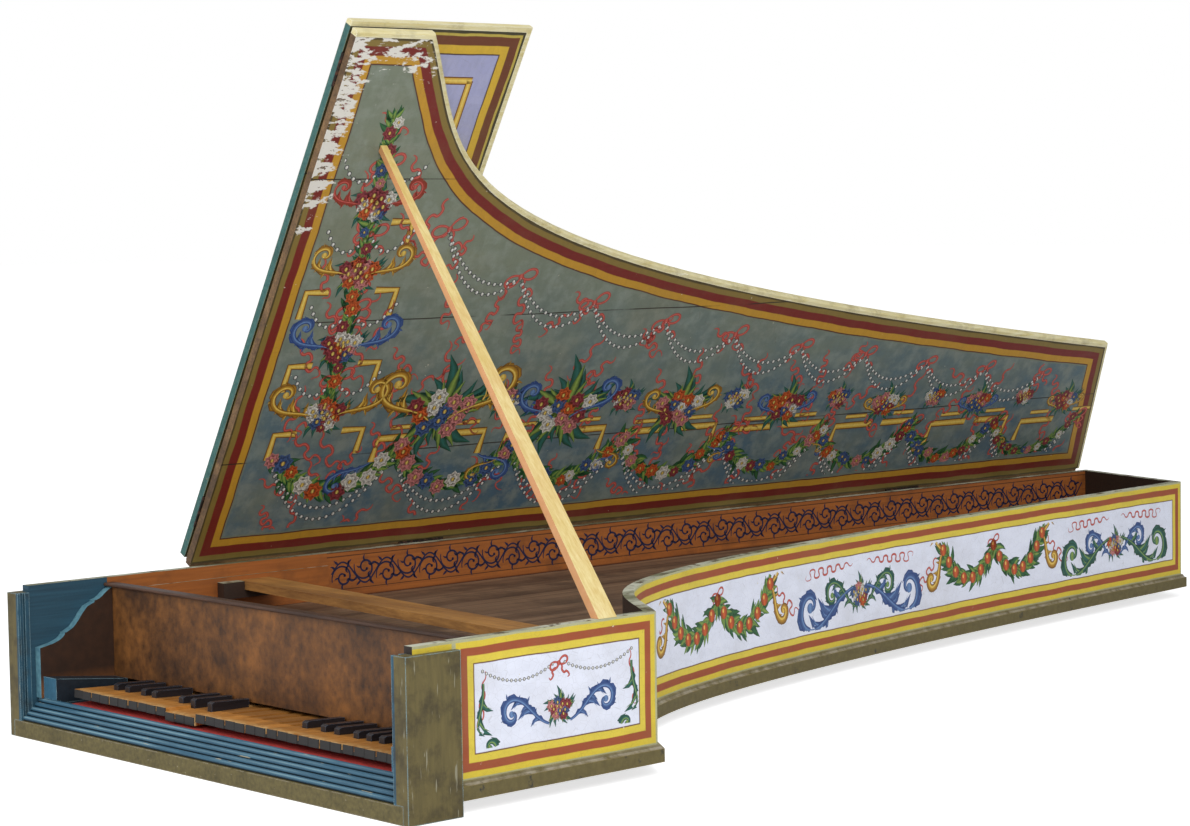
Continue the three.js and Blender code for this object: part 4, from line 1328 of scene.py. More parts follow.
class Motifs(Brush):
    """The decorator's stock of traditional figures, painted with one brush."""

    def ribbon(self, start: Point, end: Point, sway: float, waves: float, width: float = 2.4) -> None:
        """A fluttering ribbon: a line between two points with a growing sideways wave and a backward loop.

        Args:
            start: where it is tied
            end: where it ends
            sway: the height of its waves
            waves: how many there are
            width: its width
        """
        t = np.linspace(0, 1, int(26 * waves) + 8)
        a, b = np.array(start, float), np.array(end, float)
        length = np.linalg.norm(b - a)
        way = (b - a) / length
        side = np.array([-way[1], way[0]])
        phase = 2 * np.pi * waves * t
        run = length * t - sway * 0.55 * np.sin(2 * phase) * t
        aside = sway * np.sin(phase) * (0.35 + 0.65 * t)
        path = a + run[:, None] * way + aside[:, None] * side
        self.line(path, width, Pigment.RIBBON_ROSE, Pigment.RIBBON_RED, 2, taper=0.75)

    def bow(self, centre: Point, size: float, tilt: float = 0.0, width: float = 3.0) -> None:
        """A tied bow: two closed loops from the rose curve sine of two theta, a knot and two tails.

        Args:
            centre: where its knot is
            size: the length of a loop
            tilt: how far it is turned, in radians
            width: the ribbon's width
        """
        centre = np.array(centre, float)
        for hand in (-1, 1):
            theta = np.linspace(0.04, np.pi / 2 - 0.04, 26)
            radius = size * np.sin(2 * theta)
            lean = tilt + (theta - np.pi / 4) * 1.1 + 0.35 * hand
            way = np.stack([np.cos(lean * hand), np.sin(lean * hand)], axis=1)
            loop = hand * radius[:, None] * way
            self.line(centre + loop, width, Pigment.RIBBON_ROSE, Pigment.RIBBON_RED, 3, taper=0.3)
            tail = centre + np.array([hand * size * 1.1, -size * 1.25])
            self.ribbon(centre, tail, size * 0.22, 1.6, width)
        self.discs(centre, width * 1.1, Pigment.RIBBON_ROSE, Pigment.RIBBON_RED, 4)

    def pearls(self, path: np.ndarray, radius: float) -> None:
        """A string of pearls: dark rims, shaded bodies and a light on each, a little apart on a thread.

        Args:
            path: the line they hang on
            radius: a pearl's radius
        """
        self.line(path, radius * 0.25, Pigment.PEARL_LINE, Pigment.PEARL_LINE, 1)
        centres = arc_steps(path, radius * 3.1)
        self.discs(centres, radius, Pigment.PEARL_LINE, Pigment.PEARL_LINE, 2)
        self.discs(centres, radius * 0.76, Pigment.PEARL_LIGHT, Pigment.PEARL_SHADE, 3)
        self.discs(centres + radius * 0.22, radius * 0.3, Pigment.WHITE, Pigment.PEARL_LIGHT, 4)

    def blooms(
        self, centres: np.ndarray, radius: Amount, petals: int, pigments: Sequence[str], hearts: str
    ) -> None:
        """Open flowers: a ring of outer petals, a smaller ring inside it and a heart.

        Args:
            centres: copies by two, in millimetres
            radius: the radius of each flower
            petals: how many outer petals each has
            pigments: the colours to draw from
            hearts: the colour of their hearts
        """
        centres = np.atleast_2d(centres)
        count = len(centres)
        radius = np.broadcast_to(radius, count).astype(float)
        tone = pick(self.random, pigments, count)
        start = self.random.uniform(0, 2 * np.pi, count)
        for ring, share, number in ((0, 1.0, petals), (1, 0.62, petals - 1)):
            angle = (start[:, None] + ring * 0.6 + np.arange(number) * 2 * np.pi / number).ravel()
            base = np.repeat(centres, number, axis=0)
            length = np.repeat(radius * share, number)
            rim = np.repeat(tone * (1.0 if ring == 0 else 1.25), number, axis=0)
            deep = np.repeat(tone * (0.45 if ring == 0 else 0.7), number, axis=0)
            rim[:, 3], deep[:, 3] = 1, 1
            self.leaves(base, angle, length, length * 0.95, deep, np.clip(rim, 0, 1), 5 + ring)
        self.discs(centres, radius * 0.22, hearts, Pigment.OCHRE_DARK, 7)

    def foliage(self, path: np.ndarray, spacing: float, length: float, spread: float) -> None:
        """Leaves set along a line to both sides, darker ones below and lighter ones over them.

        Args:
            path: the line
            spacing: the distance between leaves
            length: a leaf's length
            spread: the widest angle from the line, in radians
        """
        base = arc_steps(path, spacing)
        way = np.gradient(base, axis=0)
        heading = np.arctan2(way[:, 1], way[:, 0])
        random = self.random
        tones = ((Pigment.LEAF_MID, Pigment.LEAF_DARK), (Pigment.LEAF_LIGHT, Pigment.LEAF_MID))
        for order, (middle, edge) in enumerate(tones):
            for hand in (-1, 1):
                angle = heading + hand * random.uniform(0.25, spread, len(base))
                size = length * random.uniform(0.7, 1.2, len(base)) * (1 - 0.25 * order)
                lean = -hand * random.uniform(0.1, 0.6, len(base))
                self.leaves(base, angle, size, size * 0.34, middle, edge, 3 + order, bend=lean)

    def garland(self, path: np.ndarray, thickness: float, bloom: float, pigments: Sequence[str]) -> None:
        """A thick garland: leaves along a hanging line with flowers over them.

        Args:
            path: the line
            thickness: how wide the leaves spread
            bloom: the radius of the flowers
            pigments: the flowers' colours
        """
        self.foliage(path, thickness * 0.22, thickness * 0.75, 1.35)
        centres = arc_steps(path, bloom * 1.9)
        random = self.random
        centres = centres + random.normal(0, thickness * 0.12, centres.shape)
        sizes = bloom * random.uniform(0.7, 1.15, len(centres))
        self.blooms(centres, sizes, 7, pigments, Pigment.OCHRE_LIGHT)

    def acanthus(
        self, start: Point, heading: float, size: float, hand: int, tones: Sequence, girth: float = 0.028
    ) -> None:
        """An acanthus scroll: a thin curling stem with lobed leaves on both sides and a bead in its eye.

        Args:
            start: where the stem begins
            heading: its first direction, in radians
            size: the stem's running length
            hand: which way it curls
            tones: dark, middle and light pigments
            girth: the stem's greatest width as a share of its length
        """
        dark, mid, light = tones
        stem = scroll(start, heading, size, hand)
        t = np.linspace(0, 1, len(stem))
        half = size * girth / 2 * np.sin(np.pi * (0.12 + 0.8 * t)) + 0.4
        way = np.gradient(stem, axis=0)
        way /= np.linalg.norm(way, axis=1, keepdims=True)
        leftward = np.stack([-way[:, 1], way[:, 0]], axis=1) * hand
        for side, share, first, count in ((-1, 0.12, 0.06, 12), (1, 0.07, 0.1, 7)):
            picks = (np.linspace(first, 0.62, count) * len(stem)).astype(int)
            length = size * share * (1 - 0.75 * t[picks]) * (0.8 + 0.4 * (np.arange(count) % 2))
            root = stem[picks] + leftward[picks] * (half[picks] * 0.4 * side)[:, None]
            angle = np.arctan2(way[picks, 1], way[picks, 0]) + hand * side * 0.4
            bend = -hand * side * 1.2
            self.leaves(root, angle, length, length * 0.34, mid, dark, 3, bend)
            self.leaves(root, angle, length * 0.85, length * 0.1, light, mid, 4, bend)
        self.strips(stem[None], half[None], mid, dark, 5)
        inner = stem + leftward * (half * 0.3)[:, None]
        self.strips(inner[None], half[None] * 0.35, light, mid, 6)
        self.discs(stem[-1], size * 0.018, light, mid, 6)

    def bunch(self, centre: Point, reach: float, bloom: float) -> None:
        """A heap of flowers on a star of leaves, the flowers set by the golden angle.

        Args:
            centre: its middle
            reach: how far the leaves spread
            bloom: the radius of the flowers
        """
        turn = np.arange(22) * math.pi * (3 - math.sqrt(5))
        ways = np.stack([np.cos(turn), 0.6 * np.sin(turn)], axis=1)
        centre = np.array(centre, float)
        length = reach * (0.75 + 0.25 * np.cos(5 * turn))
        dark, mid, light = GREEN
        self.leaves(centre + ways * 4, turn, length, length * 0.26, mid, dark, 3, bend=0.5)
        self.leaves(centre + ways * 4, turn + 0.2, length * 0.8, length * 0.18, light, dark, 4)
        count = 11
        spread = np.sqrt((np.arange(count) + 0.2) / count) * reach * 0.6
        self.blooms(centre + ways[:count] * spread[:, None], bloom, 7, FLOWERS, Pigment.OCHRE_LIGHT)

    def festoon(self, centre: Point, span: float, sag: float) -> None:
        """Two swags of broad leaves and fruit hung between gold scrolls, with a bow where they meet.

        Args:
            centre: the point where the swags meet
            span: how far each swag reaches to its side
            sag: how deep they hang
        """
        middle = np.array(centre, float)
        for hand in (-1, 1):
            end = middle + (hand * span, 6.0)
            self.acanthus(end, away(hand) + hand * 0.5, span * 1.9, -hand, GOLD, 0.06)
            self.acanthus(end, away(hand) - hand * 0.9, span * 1.3, hand, GOLD, 0.06)
            path = swag(middle, end, sag, 40)
            self.foliage(path, 7, 30, 1.35)
            fruit = arc_steps(path, 27)
            self.discs(fruit, 9.5, Pigment.FRUIT_ORANGE, Pigment.FRUIT_BROWN, 6)
            self.discs(fruit + (-2.0, 3.0), 3.2, Pigment.OCHRE_LIGHT, Pigment.FRUIT_ORANGE, 7)
        self.bow(middle + (0.0, 8.0), 17)

    def strap(self, path: np.ndarray, width: float) -> None:
        """Gold strapwork: a dark outline, an ochre body and a light running along one side."""
        self.line(path, width, Pigment.OCHRE_DARK, Pigment.OCHRE_DARK, 1, taper=0)
        self.line(path, width * 0.72, Pigment.OCHRE_LIGHT, Pigment.OCHRE, 2, taper=0)

    def rinceau(
        self, start: float, end: float, middle: float, height: float, period: float, width: float
    ) -> None:
        """A running scroll border: a waving stem with a spiral curling back into each hollow.

        The stem is a sine wave. In each half wave a branch winds about a centre in the hollow, its
        radius falling from 0.25 to 0.055 periods, and small pointed leaves spring from both.

        Args:
            start: where the border begins
            end: where it ends
            middle: the height of its axis
            height: how far the wave rises from the axis
            period: the length of one wave
            width: the stem's width
        """
        x = np.arange(start, end, period / 26)
        stem = np.stack([x, middle + height * 0.62 * np.sin(2 * np.pi * (x - start) / period)], axis=1)
        navy = Pigment.NAVY
        self.line(stem, width, navy, navy, 1, taper=0.0)
        t = np.linspace(0, 1, 48)
        turn = np.pi * (1.1 - 2.9 * t)
        radius = period * (0.055 + 0.195 * (1 - t) ** 1.3)
        picks = np.array([5, 12, 19, 26, 33])
        sides = np.array([-1.0, 1.0])
        for k in range(int((end - start) / (period / 2))):
            hand = 1 - 2 * (k % 2)
            centre = np.array([start + (k + 0.5) * period / 2, middle - hand * height * 0.22])
            way = np.stack([np.cos(turn), hand * np.sin(turn)], axis=1)
            curl = centre + radius[:, None] * way
            self.line(curl, width * 1.2, navy, navy, 2, taper=0.5)
            self.discs(curl[-1], width * 0.9, navy, navy, 2)
            out = np.arctan2(way[picks, 1], way[picks, 0])
            length = period * np.array([0.13, 0.14, 0.14, 0.12, 0.1])
            bend = hand * 0.9
            self.leaves(curl[picks], out - hand * 0.8, length, length * 0.36, navy, navy, 2, bend)
            length = length[3:] * 0.9
            self.leaves(curl[picks[1:3]], out[1:3] + math.pi, length, length * 0.4, navy, navy, 2, bend)
            crest = middle + hand * height * 0.62 * math.cos(0.2 * math.pi)
            base = np.stack([centre[0] + sides * period * 0.1, np.full(2, crest)], axis=1)
            length = np.full(2, period * 0.13)
            self.leaves(base, hand * (math.pi / 2 - sides * 0.9), length, length * 0.36, navy, navy, 2)


def dress_all(finishes: dict[Finish, tuple[str, ...]], nodes: dict[str, bpy.types.Object]) -> None:
    """Puts each finish on the CAD nodes that are named for it."""
    for finish, names in finishes.items():
        finish.dress(*(nodes[name] for name in names))


@dataclass
class Case:
    """The walls, base, front frame and their paint."""

    brushwork: bpy.types.Material
    panel_low: float = 72.0
    panel_high: float = 172.0

    def dress(self, nodes: dict[str, bpy.types.Object]) -> None:
        """Gives the case's boards their finishes.

        Args:
            nodes: the CAD nodes by name
        """
        cheek_front, tail_end = (0.857, SIDE_BOARD_END), (0.0, CASE_LENGTH)
        finishes = {
            BandedWall("painted_cheek", (cheek_front, CHEEK_END), Outlook.RIGHT): ("cheek_wall",),
            BandedWall("painted_bentside", (CHEEK_END, TAIL_CORNER), Outlook.RIGHT): ("bentside_wall",),
            BandedWall("painted_tail", (TAIL_CORNER, tail_end), Outlook.BACK): ("tail_wall",),
            SpineWall("painted_spine", ((0.0, SIDE_BOARD_END), tail_end), Outlook.LEFT): ("spine_wall",),
            WornPaint("olive_paint_on_wood", "#554c28", "#74683a", "#9a8f78", "#2a2618"): ("front_rail",),
            BaseMoulding(): ("base_moulding",),
            ReededMoulding(): ("reeded_moulding",),
            CornerPost(): ("left_corner_post", "right_corner_post"),
            Bracket(): ("left_bracket", "right_bracket"),
        }
        dress_all(finishes, nodes)

    def paint_panels(self) -> None:
        """Paints the ornament on the cheek, the bentside and the inner side of the spine."""
        self.paint_cheek()
        self.paint_bentside()
        self.paint_inner_spine()

    def field(self, first: float, last: float) -> Window:
        """The lilac field between two distances along a wall."""
        return Window(first, last, self.panel_low, self.panel_high)

    def paint_cheek(self) -> None:
        """Two green scrolls and two blue ones about a bunch of flowers, under a bow with pearl swags."""
        slope = np.array([(CHEEK_END[0] - CHEEK_FRONT_X) / CHEEK_END[1], 1.0, 0.0])
        along = slope / np.linalg.norm(slope)
        face = FlatFace(np.array([CHEEK_FRONT_X, 0.0, 0.0]) + CASE_SHIFT, along, UP)
        motifs = Motifs(face, seed=11, field=self.field(114.0, 380.0))
        middle = 247.0
        motifs.bow((middle, 160), 15)
        for hand in (-1, 1):
            motifs.pearls(swag((middle + hand * 10, 160), (middle + hand * 122, 164), 15), 2.2)
            motifs.ribbon((middle + hand * 118, 164), (middle + hand * 128, 96), 5.0, 3.0)
            motifs.acanthus((middle + hand * 122, 154), -math.pi / 2 - hand * 0.1, 290, -hand, GREEN)
            motifs.acanthus((middle + hand * 14, 88), away(hand) + hand * 0.3, 230, -hand, BLUE)
        motifs.bunch((middle, 106), 26, 8)
        motifs.piece("cheek_ornament", "case", "painted_case", self.brushwork)

    def paint_bentside(self) -> None:
        """Bays of paired scrolls about bunches of flowers, and between them festoons of leaves and fruit."""
        face = BentFace()
        border = 46.0
        motifs = Motifs(face, seed=12, field=self.field(border, float(face.reach[-1]) - border))
        for centre, large, small in ((150.0, GREEN, RED), (940.0, BLUE, GREEN), (1715.0, GREEN, BLUE)):
            for hand in (-1, 1):
                motifs.acanthus((centre + hand * 12, 126), away(hand) - hand * 0.15, 450, hand, large, 0.024)
                motifs.acanthus((centre + hand * 8, 94), away(hand) + hand * 0.35, 260, -hand, small, 0.026)
                motifs.ribbon((centre + hand * 20, 162), (centre + hand * 150, 156), 8.0, 5.5, 3.2)
            motifs.bunch((centre, 114), 34, 11)
        for centre in (540.0, 1330.0):
            motifs.festoon((centre, 150.0), 150.0, 50.0)
            for hand in (-1, 1):
                motifs.ribbon((centre + hand * 160, 152), (centre + hand * 225, 100), 9.0, 3.5, 3.2)
        motifs.piece("bentside_ornament", "case", "painted_case", self.brushwork)

    def paint_inner_spine(self) -> None:
        """A running navy scroll along the inner side of the spine, as on old Venetian cases."""
        corner = np.array([WALL, 0.0, 0.0]) + CASE_SHIFT
        band = Window(-math.inf, math.inf, 146, 199)
        motifs = Motifs(FlatFace(corner, ALONG, UP), seed=13, field=band)
        motifs.rinceau(start=528, end=2262, middle=172.5, height=27, period=82, width=2.6)
        motifs.piece("spine_arabesque", "case", "painted_case", self.brushwork)


@dataclass
class Action:
    """The keywell, keys and the wood inside the case."""

    def dress(self, nodes: dict[str, bpy.types.Object]) -> None:
        """Gives the keys and inner boards their finishes.

        Args:
            nodes: the CAD nodes by name
        """
        KeyCover().dress(*(piece for name, piece in nodes.items() if name.startswith("naturals_")))
        BlackBlock().dress(*(piece for name, piece in nodes.items() if name.startswith("accidental_")))
        across = (0.05, 1, 1)
        walnut = PlanedWood(
            "stained_walnut_nameboard", "#8f5c2a", "#3a2414", "#2a1a12",
            grain=(0.6, 1, 0.5), streak=9 * MM, roughness=0.5, stain_share=0.8,
        )
        cap = PlanedWood("dark_walnut_cap", "#5a3d2c", "#2a1a12", "#1a110d", across, roughness=0.45)
        rail = PlanedWood("pale_pine_jackrail", "#b98545", "#80552a", "#6b4a28", across, roughness=0.55)
        spruce = PlanedWood(
            "aged_spruce_soundboard", "#93755a", "#4d3626", "#33251d",
            grain=(1, 0.012, 1), streak=7 * MM, stain_share=0.7,
        )
        poplar = PlanedWood("bare_poplar", "#9a7a54", "#5c4430", "#3f2e22", roughness=0.7)
        pear = PlanedWood("pear_jack_guide", "#b18a5a", "#7a5a38", "#4f3a26", across)
        # The stick's player-side faces take an orange-pink painted shade.
        stick = PlanedWood(
            "planed_pine_stick", "#f4e2a4", "#d9b968", "#d08a58",
            grain=(0.25, 1, 0.2), streak=4 * MM, roughness=0.5, stain_share=0.25, player_side_shade="#d58a5e",
        )
        finishes = {
            walnut: ("nameboard",),
            cap: ("nameboard_cap",),
            rail: ("jackrail",),
            spruce: ("soundboard",),
            Wrestplank(): ("wrestplank",),
            poplar: ("bottom_boards", "belly_rail", "soundboard_liner"),
            pear: ("jack_guide",),
            stick: ("prop_stick",),
            WovenCloth(): ("key_cloth",),
            KeyBlocks(): ("key_frame",),
        }
        dress_all(finishes, nodes)


@dataclass
class Board:
    """A painted board of the lid, in its own plane: distance along the case and up from the hinge line.

    Rings of its outline, each further in, carry the distance from the edge. Both faces have the same
    rings, and a side wall joins their rims. Inside the last ring, cells join each point of its lower
    side to the one above it. Between its hinges the board's edge runs on towards the
    pins in tongues, so that no light shows under it.
    """

    name: str
    body: str
    node: str
    slot: str
    outline: np.ndarray
    near: float
    far: float
    tongues: tuple[tuple[float, float], ...] = ()
    insets: tuple[float, ...] = (0.0, 2.0, 12.0, 24.0, 34.0, 44.0)

    def build(self, *finishes: bpy.types.Material) -> bpy.types.Object:
        """Builds the board's mesh with its three finishes.

        Args:
            *finishes: those of the face towards the strings, of the outer face and of the edges

        Returns:
            The new object.
        """
        size = len(self.outline)
        rings = [drawn_in(self.outline, inset * MM, True) for inset in self.insets]
        flat = np.concatenate(rings)
        edge = np.repeat(np.array(self.insets) * MM, size)
        low, high = -1.3 * MM, 4.0 * MM
        shapes = [((a, low), (b, low), (b, high), (a, high)) for a, b in self.tongues]
        tongues = np.array(shapes).reshape(-1, 2)
        plan = np.concatenate([flat, flat, tongues, tongues])
        level = np.repeat([self.near, self.far, self.near, self.far], [len(flat)] * 2 + [len(tongues)] * 2)
        points = HINGE_LINE + plan[:, :1] * ALONG + plan[:, 1:] * LID_UP - LID_INWARD * level[:, None]
        ring_of = np.arange(size)
        following = (ring_of + 1) % size
        faces: list[list[int]] = []
        groups: list[int] = []
        for sheet, material in ((0, 0), (1, 1)):
            base = sheet * len(flat)
            for k in range(len(rings) - 1):
                a = base + k * size + ring_of
                b = base + k * size + following
                quads = np.stack([a, b, b + size, a + size], axis=1)
                faces += (quads if sheet == 0 else quads[:, ::-1]).tolist()
                groups += [material] * size
            last = base + (len(rings) - 1) * size
            final = last + size - 1
            cells = [[last + i, last + i + 1, final - 1 - i, final - i] for i in range(size // 2 - 1)]
            if size % 2:
                cells.append([last + size // 2 - 1, last + size // 2, last + size // 2 + 1])
            faces += cells if sheet == 0 else [cell[::-1] for cell in cells]
            groups += [material] * len(cells)
        lower, upper = ring_of, ring_of + len(flat)
        faces += np.stack([lower, upper, np.roll(upper, -1), np.roll(lower, -1)], axis=1).tolist()
        groups += [2] * size
        for k in range(len(self.tongues)):
            a = 2 * len(flat) + 4 * k + np.arange(4)
            b = a + len(tongues)
            faces += [a.tolist(), b[::-1].tolist()]
            faces += np.stack([a, b, np.roll(b, -1), np.roll(a, -1)], axis=1).tolist()
            groups += [2] * 6
        mesh = bpy.data.meshes.new(self.name)
        mesh.from_pydata(points.tolist(), [], faces)
        for finish in finishes:
            mesh.materials.append(finish)
        mesh.polygons.foreach_set("material_index", groups)
        mesh.attributes.new("edge", "FLOAT", "POINT").data.foreach_set(
            "value", np.concatenate([edge, edge, np.zeros(2 * len(tongues))]).astype(np.float32)
        )
        corners = np.empty(len(mesh.loops), np.int32)
        mesh.loops.foreach_get("vertex_index", corners)
        board = mesh.uv_layers.new(name="board")
        board.data.foreach_set("uv", plan[corners].astype(np.float32).ravel())
        return add_piece(self.name, mesh, self.body, (self.node,))


@dataclass
class Lid:
    """The lid, its flap, their paint and their mouldings."""

    brushwork: bpy.types.Material
    low: float = 0.3 * MM
    thickness: float = 12 * MM
    flap_axis: float = 15.0 * MM
    border_slant: float = 30 * MM
    inside_border: Window = Window(first=336, last=2225, low=50, high=math.inf)

    def lid_outline(self) -> np.ndarray:
        """The lid board's outline from the hinge side's front corner, counter-clockwise seen from inside.

        Returns:
            The outline's points.
        """
        curve = np.delete(bentside_between(LID_CORNER, LID_TAIL, 72), (1, 2, 3), axis=0)[::-1]
        route = np.array([(0.0, LID_LENGTH), *curve, (LID_WIDTH, FLAP_LINE)])[:, ::-1]
        upper = np.maximum(drawn_in(route, EDGE_MOULDING, False), 0.0)
        lower = upper[:0:-1] * (1.0, 0.0)
        return np.concatenate([lower, upper]) - (0.0, HINGE_X)

    def flap_outline(self) -> np.ndarray:
        """The flap board's outline folded back, mirrored over the line it turns on.

        Returns:
            The outline's points.
        """
        near, far = FLAP_LINE + 0.6 * MM, 2 * FLAP_LINE + FLAP_OVERHANG - EDGE_MOULDING
        top = FLAP_WIDTH - EDGE_MOULDING
        return np.array([(near, 0.0), (far, 0.0), (far, top), (near, top)]) - (0.0, HINGE_X)

    def build(self, nodes: dict[str, bpy.types.Object]) -> None:
        """Builds the painted boards and dresses the mouldings.

        Args:
            nodes: the CAD nodes by name
        """
        inner = BandedPanel(
            "painted_lid_inside", LID_BANDS, "#47687c", "#96a095", "#e9e6dc", flaking=0.36, shade_from=0.12
        ).material()
        outer = BandedPanel("painted_lid_outside", FLAP_BANDS, "#a9a8cf", "#b9bad6", "#e2dccb").material()
        rim = PlanedWood("bare_board_edge", "#8a6a44", "#4d3824", "#33261b", grain=(1, 0.3, 1)).material()
        teal = WornPaint("teal_paint_on_flap_edge", "#2c5a58", "#46756e", "#8f8a6a", "#1b2a2a").material()
        top = self.low + self.thickness
        hinges = [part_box(f"lid_hinge_{place}_case_leaf") for place in ("front", "rear")]
        stops = [FLAP_LINE + MM]
        for low, high in hinges:
            stops += [low[1] - CASE_SHIFT[1] - MM, high[1] - CASE_SHIFT[1] + MM]
        stops.append(LID_LENGTH - 12 * MM)
        tongues = tuple(zip(stops[::2], stops[1::2]))
        lid = Board("lid_board", "lid", "lid_panel", "lid_paint", self.lid_outline(), self.low, top, tongues)
        lid.build(inner, outer, rim)
        folded = (2 * self.flap_axis - top, 2 * self.flap_axis - self.low)
        flap = Board("flap_board", "flap", "flap_panel", "flap_paint", self.flap_outline(), *folded)
        flap.build(outer, inner, teal)
        cream = WornPaint("cream_yellow_moulding", "#d9c987", "#efe7bd", "#f5f0d2", "#6b5a2c", rub_level=0.6)
        cream.dress(nodes["lid_moulding"], nodes["flap_moulding"])
        ForgedIron().dress(*(piece for name, piece in nodes.items() if name.endswith("_leaf")))

    def top_at(self, y: np.ndarray | float) -> np.ndarray | float:
        """The height in millimetres of the lid field's upper limit at distances along the case."""
        curve = bentside_between(LID_CORNER, LID_TAIL, 200)
        return np.interp(y, (curve[:, 1] - self.border_slant) / MM, curve[:, 0] / MM - 46)

    def on_field(self, p: np.ndarray) -> np.ndarray:
        """Tells which flat points lie inside the lid's painted border."""
        return self.inside_border(p) & (p[:, 1] < self.top_at(p[:, 0]))

    def paint_inside(self) -> None:
        """Paints the lid's inner face: ribbons and swags as one piece, scrolls and flowers as another."""
        face = FlatFace(HINGE_LINE - LID_INWARD * self.low, ALONG, LID_UP)
        works = {
            "lid_ribbons_and_swags": (self.paint_ribbons, self.paint_swags),
            "lid_scrolls_and_flowers": (self.paint_scrolls, self.paint_front),
        }
        for seed, (name, parts) in enumerate(works.items(), 21):
            motifs = Motifs(face, seed, self.on_field)
            for part in parts:
                part(motifs)
            motifs.piece(name, "lid", "lid_paint", self.brushwork)

    def paint_ribbons(self, motifs: Motifs) -> None:
        """Scatters fluttering ribbons, one to each cell of a loose grid over the field.

        Args:
            motifs: the figures and their brush
        """
        random = motifs.random
        for y in np.arange(370.0, 2200.0, 78.0):
            for u in np.arange(90.0, float(self.top_at(y)), 72.0):
                start = np.array((y, u)) + random.uniform(-26, 26, 2)
                angle = random.uniform(-2.6, -0.4)
                end = start + random.uniform(60, 105) * np.array((math.cos(angle), math.sin(angle)))
                motifs.ribbon(start, end, random.uniform(8, 12), random.uniform(2.4, 3.6), 4.8)

    def paint_swags(self, motifs: Motifs) -> None:
        """Hangs double pearl strings between bows under the curved border, and flower garlands lower down.

        Args:
            motifs: the figures and their brush
        """
        hooks = np.arange(560.0, 2200.0, 164.0)
        heights = self.top_at(hooks) - np.linspace(34, 20, len(hooks))
        drop = np.array((0.0, 4.0))
        for k, hook in enumerate(zip(hooks, heights)):
            motifs.bow(hook, 30 - k, tilt=0.15 * (-1) ** k, width=4.6)
            if k:
                start, end = np.array((hooks[k - 1], heights[k - 1])) - drop, np.array(hook) - drop
                motifs.pearls(swag(start, end, 38, 50), 3.8)
                motifs.pearls(swag(start, end, 58, 50), 3.8)
        lows = np.arange(380.0, 2200.0, 226.0)
        for k, (a, b) in enumerate(zip(lows, lows[1:])):
            level = 178 - 8 * k
            motifs.pearls(swag((a, level - 12), (b, level - 12), 84, 60), 3.8)
            motifs.pearls(swag((a, level - 12), (b, level - 12), 104, 60), 3.8)
            motifs.garland(swag((a, level), (b, level), 66, 70), 44 - 2 * k, 16 - 0.6 * k, FLOWERS)
            motifs.bow((b, level + 6), 26, width=4.2)

    def paint_scrolls(self, motifs: Motifs) -> None:
        """Sets gold strap brackets, paired scrolls and bunches of flowers along the middle of the lid.

        Args:
            motifs: the figures and their brush
        """
        stations = np.arange(660.0, 2150.0, 246.0)
        for k, y in enumerate(stations):
            room = float(self.top_at(y)) - 190
            base = 196 - 12 * k
            size = max(120.0, room * 1.15)
            large, small = (GOLD, BLUE) if k % 2 == 0 else (BLUE, GOLD)
            for hand in (-1, 1):
                far = y + hand * 100
                motifs.strap(np.array([(y + hand * 12, base), (far, base), (far, base - 40)]), 15)
                motifs.strap(np.array([(y + hand * 34, base + 18), (y + hand * 84, base + 18)]), 9)
                motifs.acanthus((y + hand * 14, base + 22), away(hand) + hand * 0.7, size, hand, large)
                motifs.acanthus((far, base - 40), away(hand) - hand * 0.6, size * 0.6, -hand, small)
            motifs.bunch((y, base + 40), np.clip(room * 0.4, 44, 100), 17 - k)
        for k, y in enumerate((stations[:-1] + stations[1:]) / 2):
            motifs.bunch((y, 250 - 14 * k), 38 - 2 * k, 14 - 0.6 * k)

    def paint_front(self, motifs: Motifs) -> None:
        """Fills the broad front of the lid: tiers of paired scrolls up a column of flowers.

        Args:
            motifs: the figures and their brush
        """
        tiers = ((236.0, 300.0, GOLD), (350.0, 270.0, BLUE), (470.0, 250.0, GOLD), (580.0, 220.0, RED))
        for height, size, tones in tiers:
            middle = 470.0 - height * 0.1
            for hand in (-1, 1):
                motifs.acanthus((middle + hand * 8, height), math.pi / 2 - hand * 1.0, size, hand, tones)
                motifs.pearls(swag((middle, height + 70), (middle + hand * 74, height + 76), 30), 3.8)
                edge, level = middle + hand * 78, height - 20
                motifs.strap(np.array([(middle + hand * 40, level), (edge, level), (edge, height - 62)]), 13)
            motifs.bow((middle, height + 72), 28, width=4.6)
            motifs.bunch((middle, height + 10), 46, 15)
        column = np.stack([np.linspace(450, 398, 40), np.linspace(220, 720, 40)], axis=1)
        motifs.garland(column, 34, 13, FLOWERS)

    def paint_flap(self) -> None:
        """Paints the flap's outer face: a gold strap frame, scrolls and dark ribbons on the lilac field."""
        level = 2 * self.flap_axis - (self.low + self.thickness)
        left, right, low, high = 335.0, 556.0, 42.0, 804.0
        face = FlatFace(HINGE_LINE - LID_INWARD * level, ALONG, LID_UP)
        motifs = Motifs(face, seed=22, field=Window(left, right, low, high))
        for y in (left + 34, right - 34):
            motifs.strap(np.array([(y, low + 40), (y, high - 34)]), 12)
        for u in (low + 40, high - 34):
            motifs.strap(np.array([(left + 30, u), (right - 30, u)]), 12)
        for u in np.arange(120.0, 760.0, 110.0):
            motifs.ribbon((right - 60, u + 40), (right - 8, u - 30), 7, 2.4, 3.0)
            for hand in (-1, 1):
                motifs.acanthus((445 + hand * 8, u), math.pi / 2 - hand * 0.9, 190, hand, GOLD)
            motifs.bow((445, u + 60), 22, width=3.6)
        motifs.piece("flap_ornament", "flap", "flap_paint", self.brushwork)


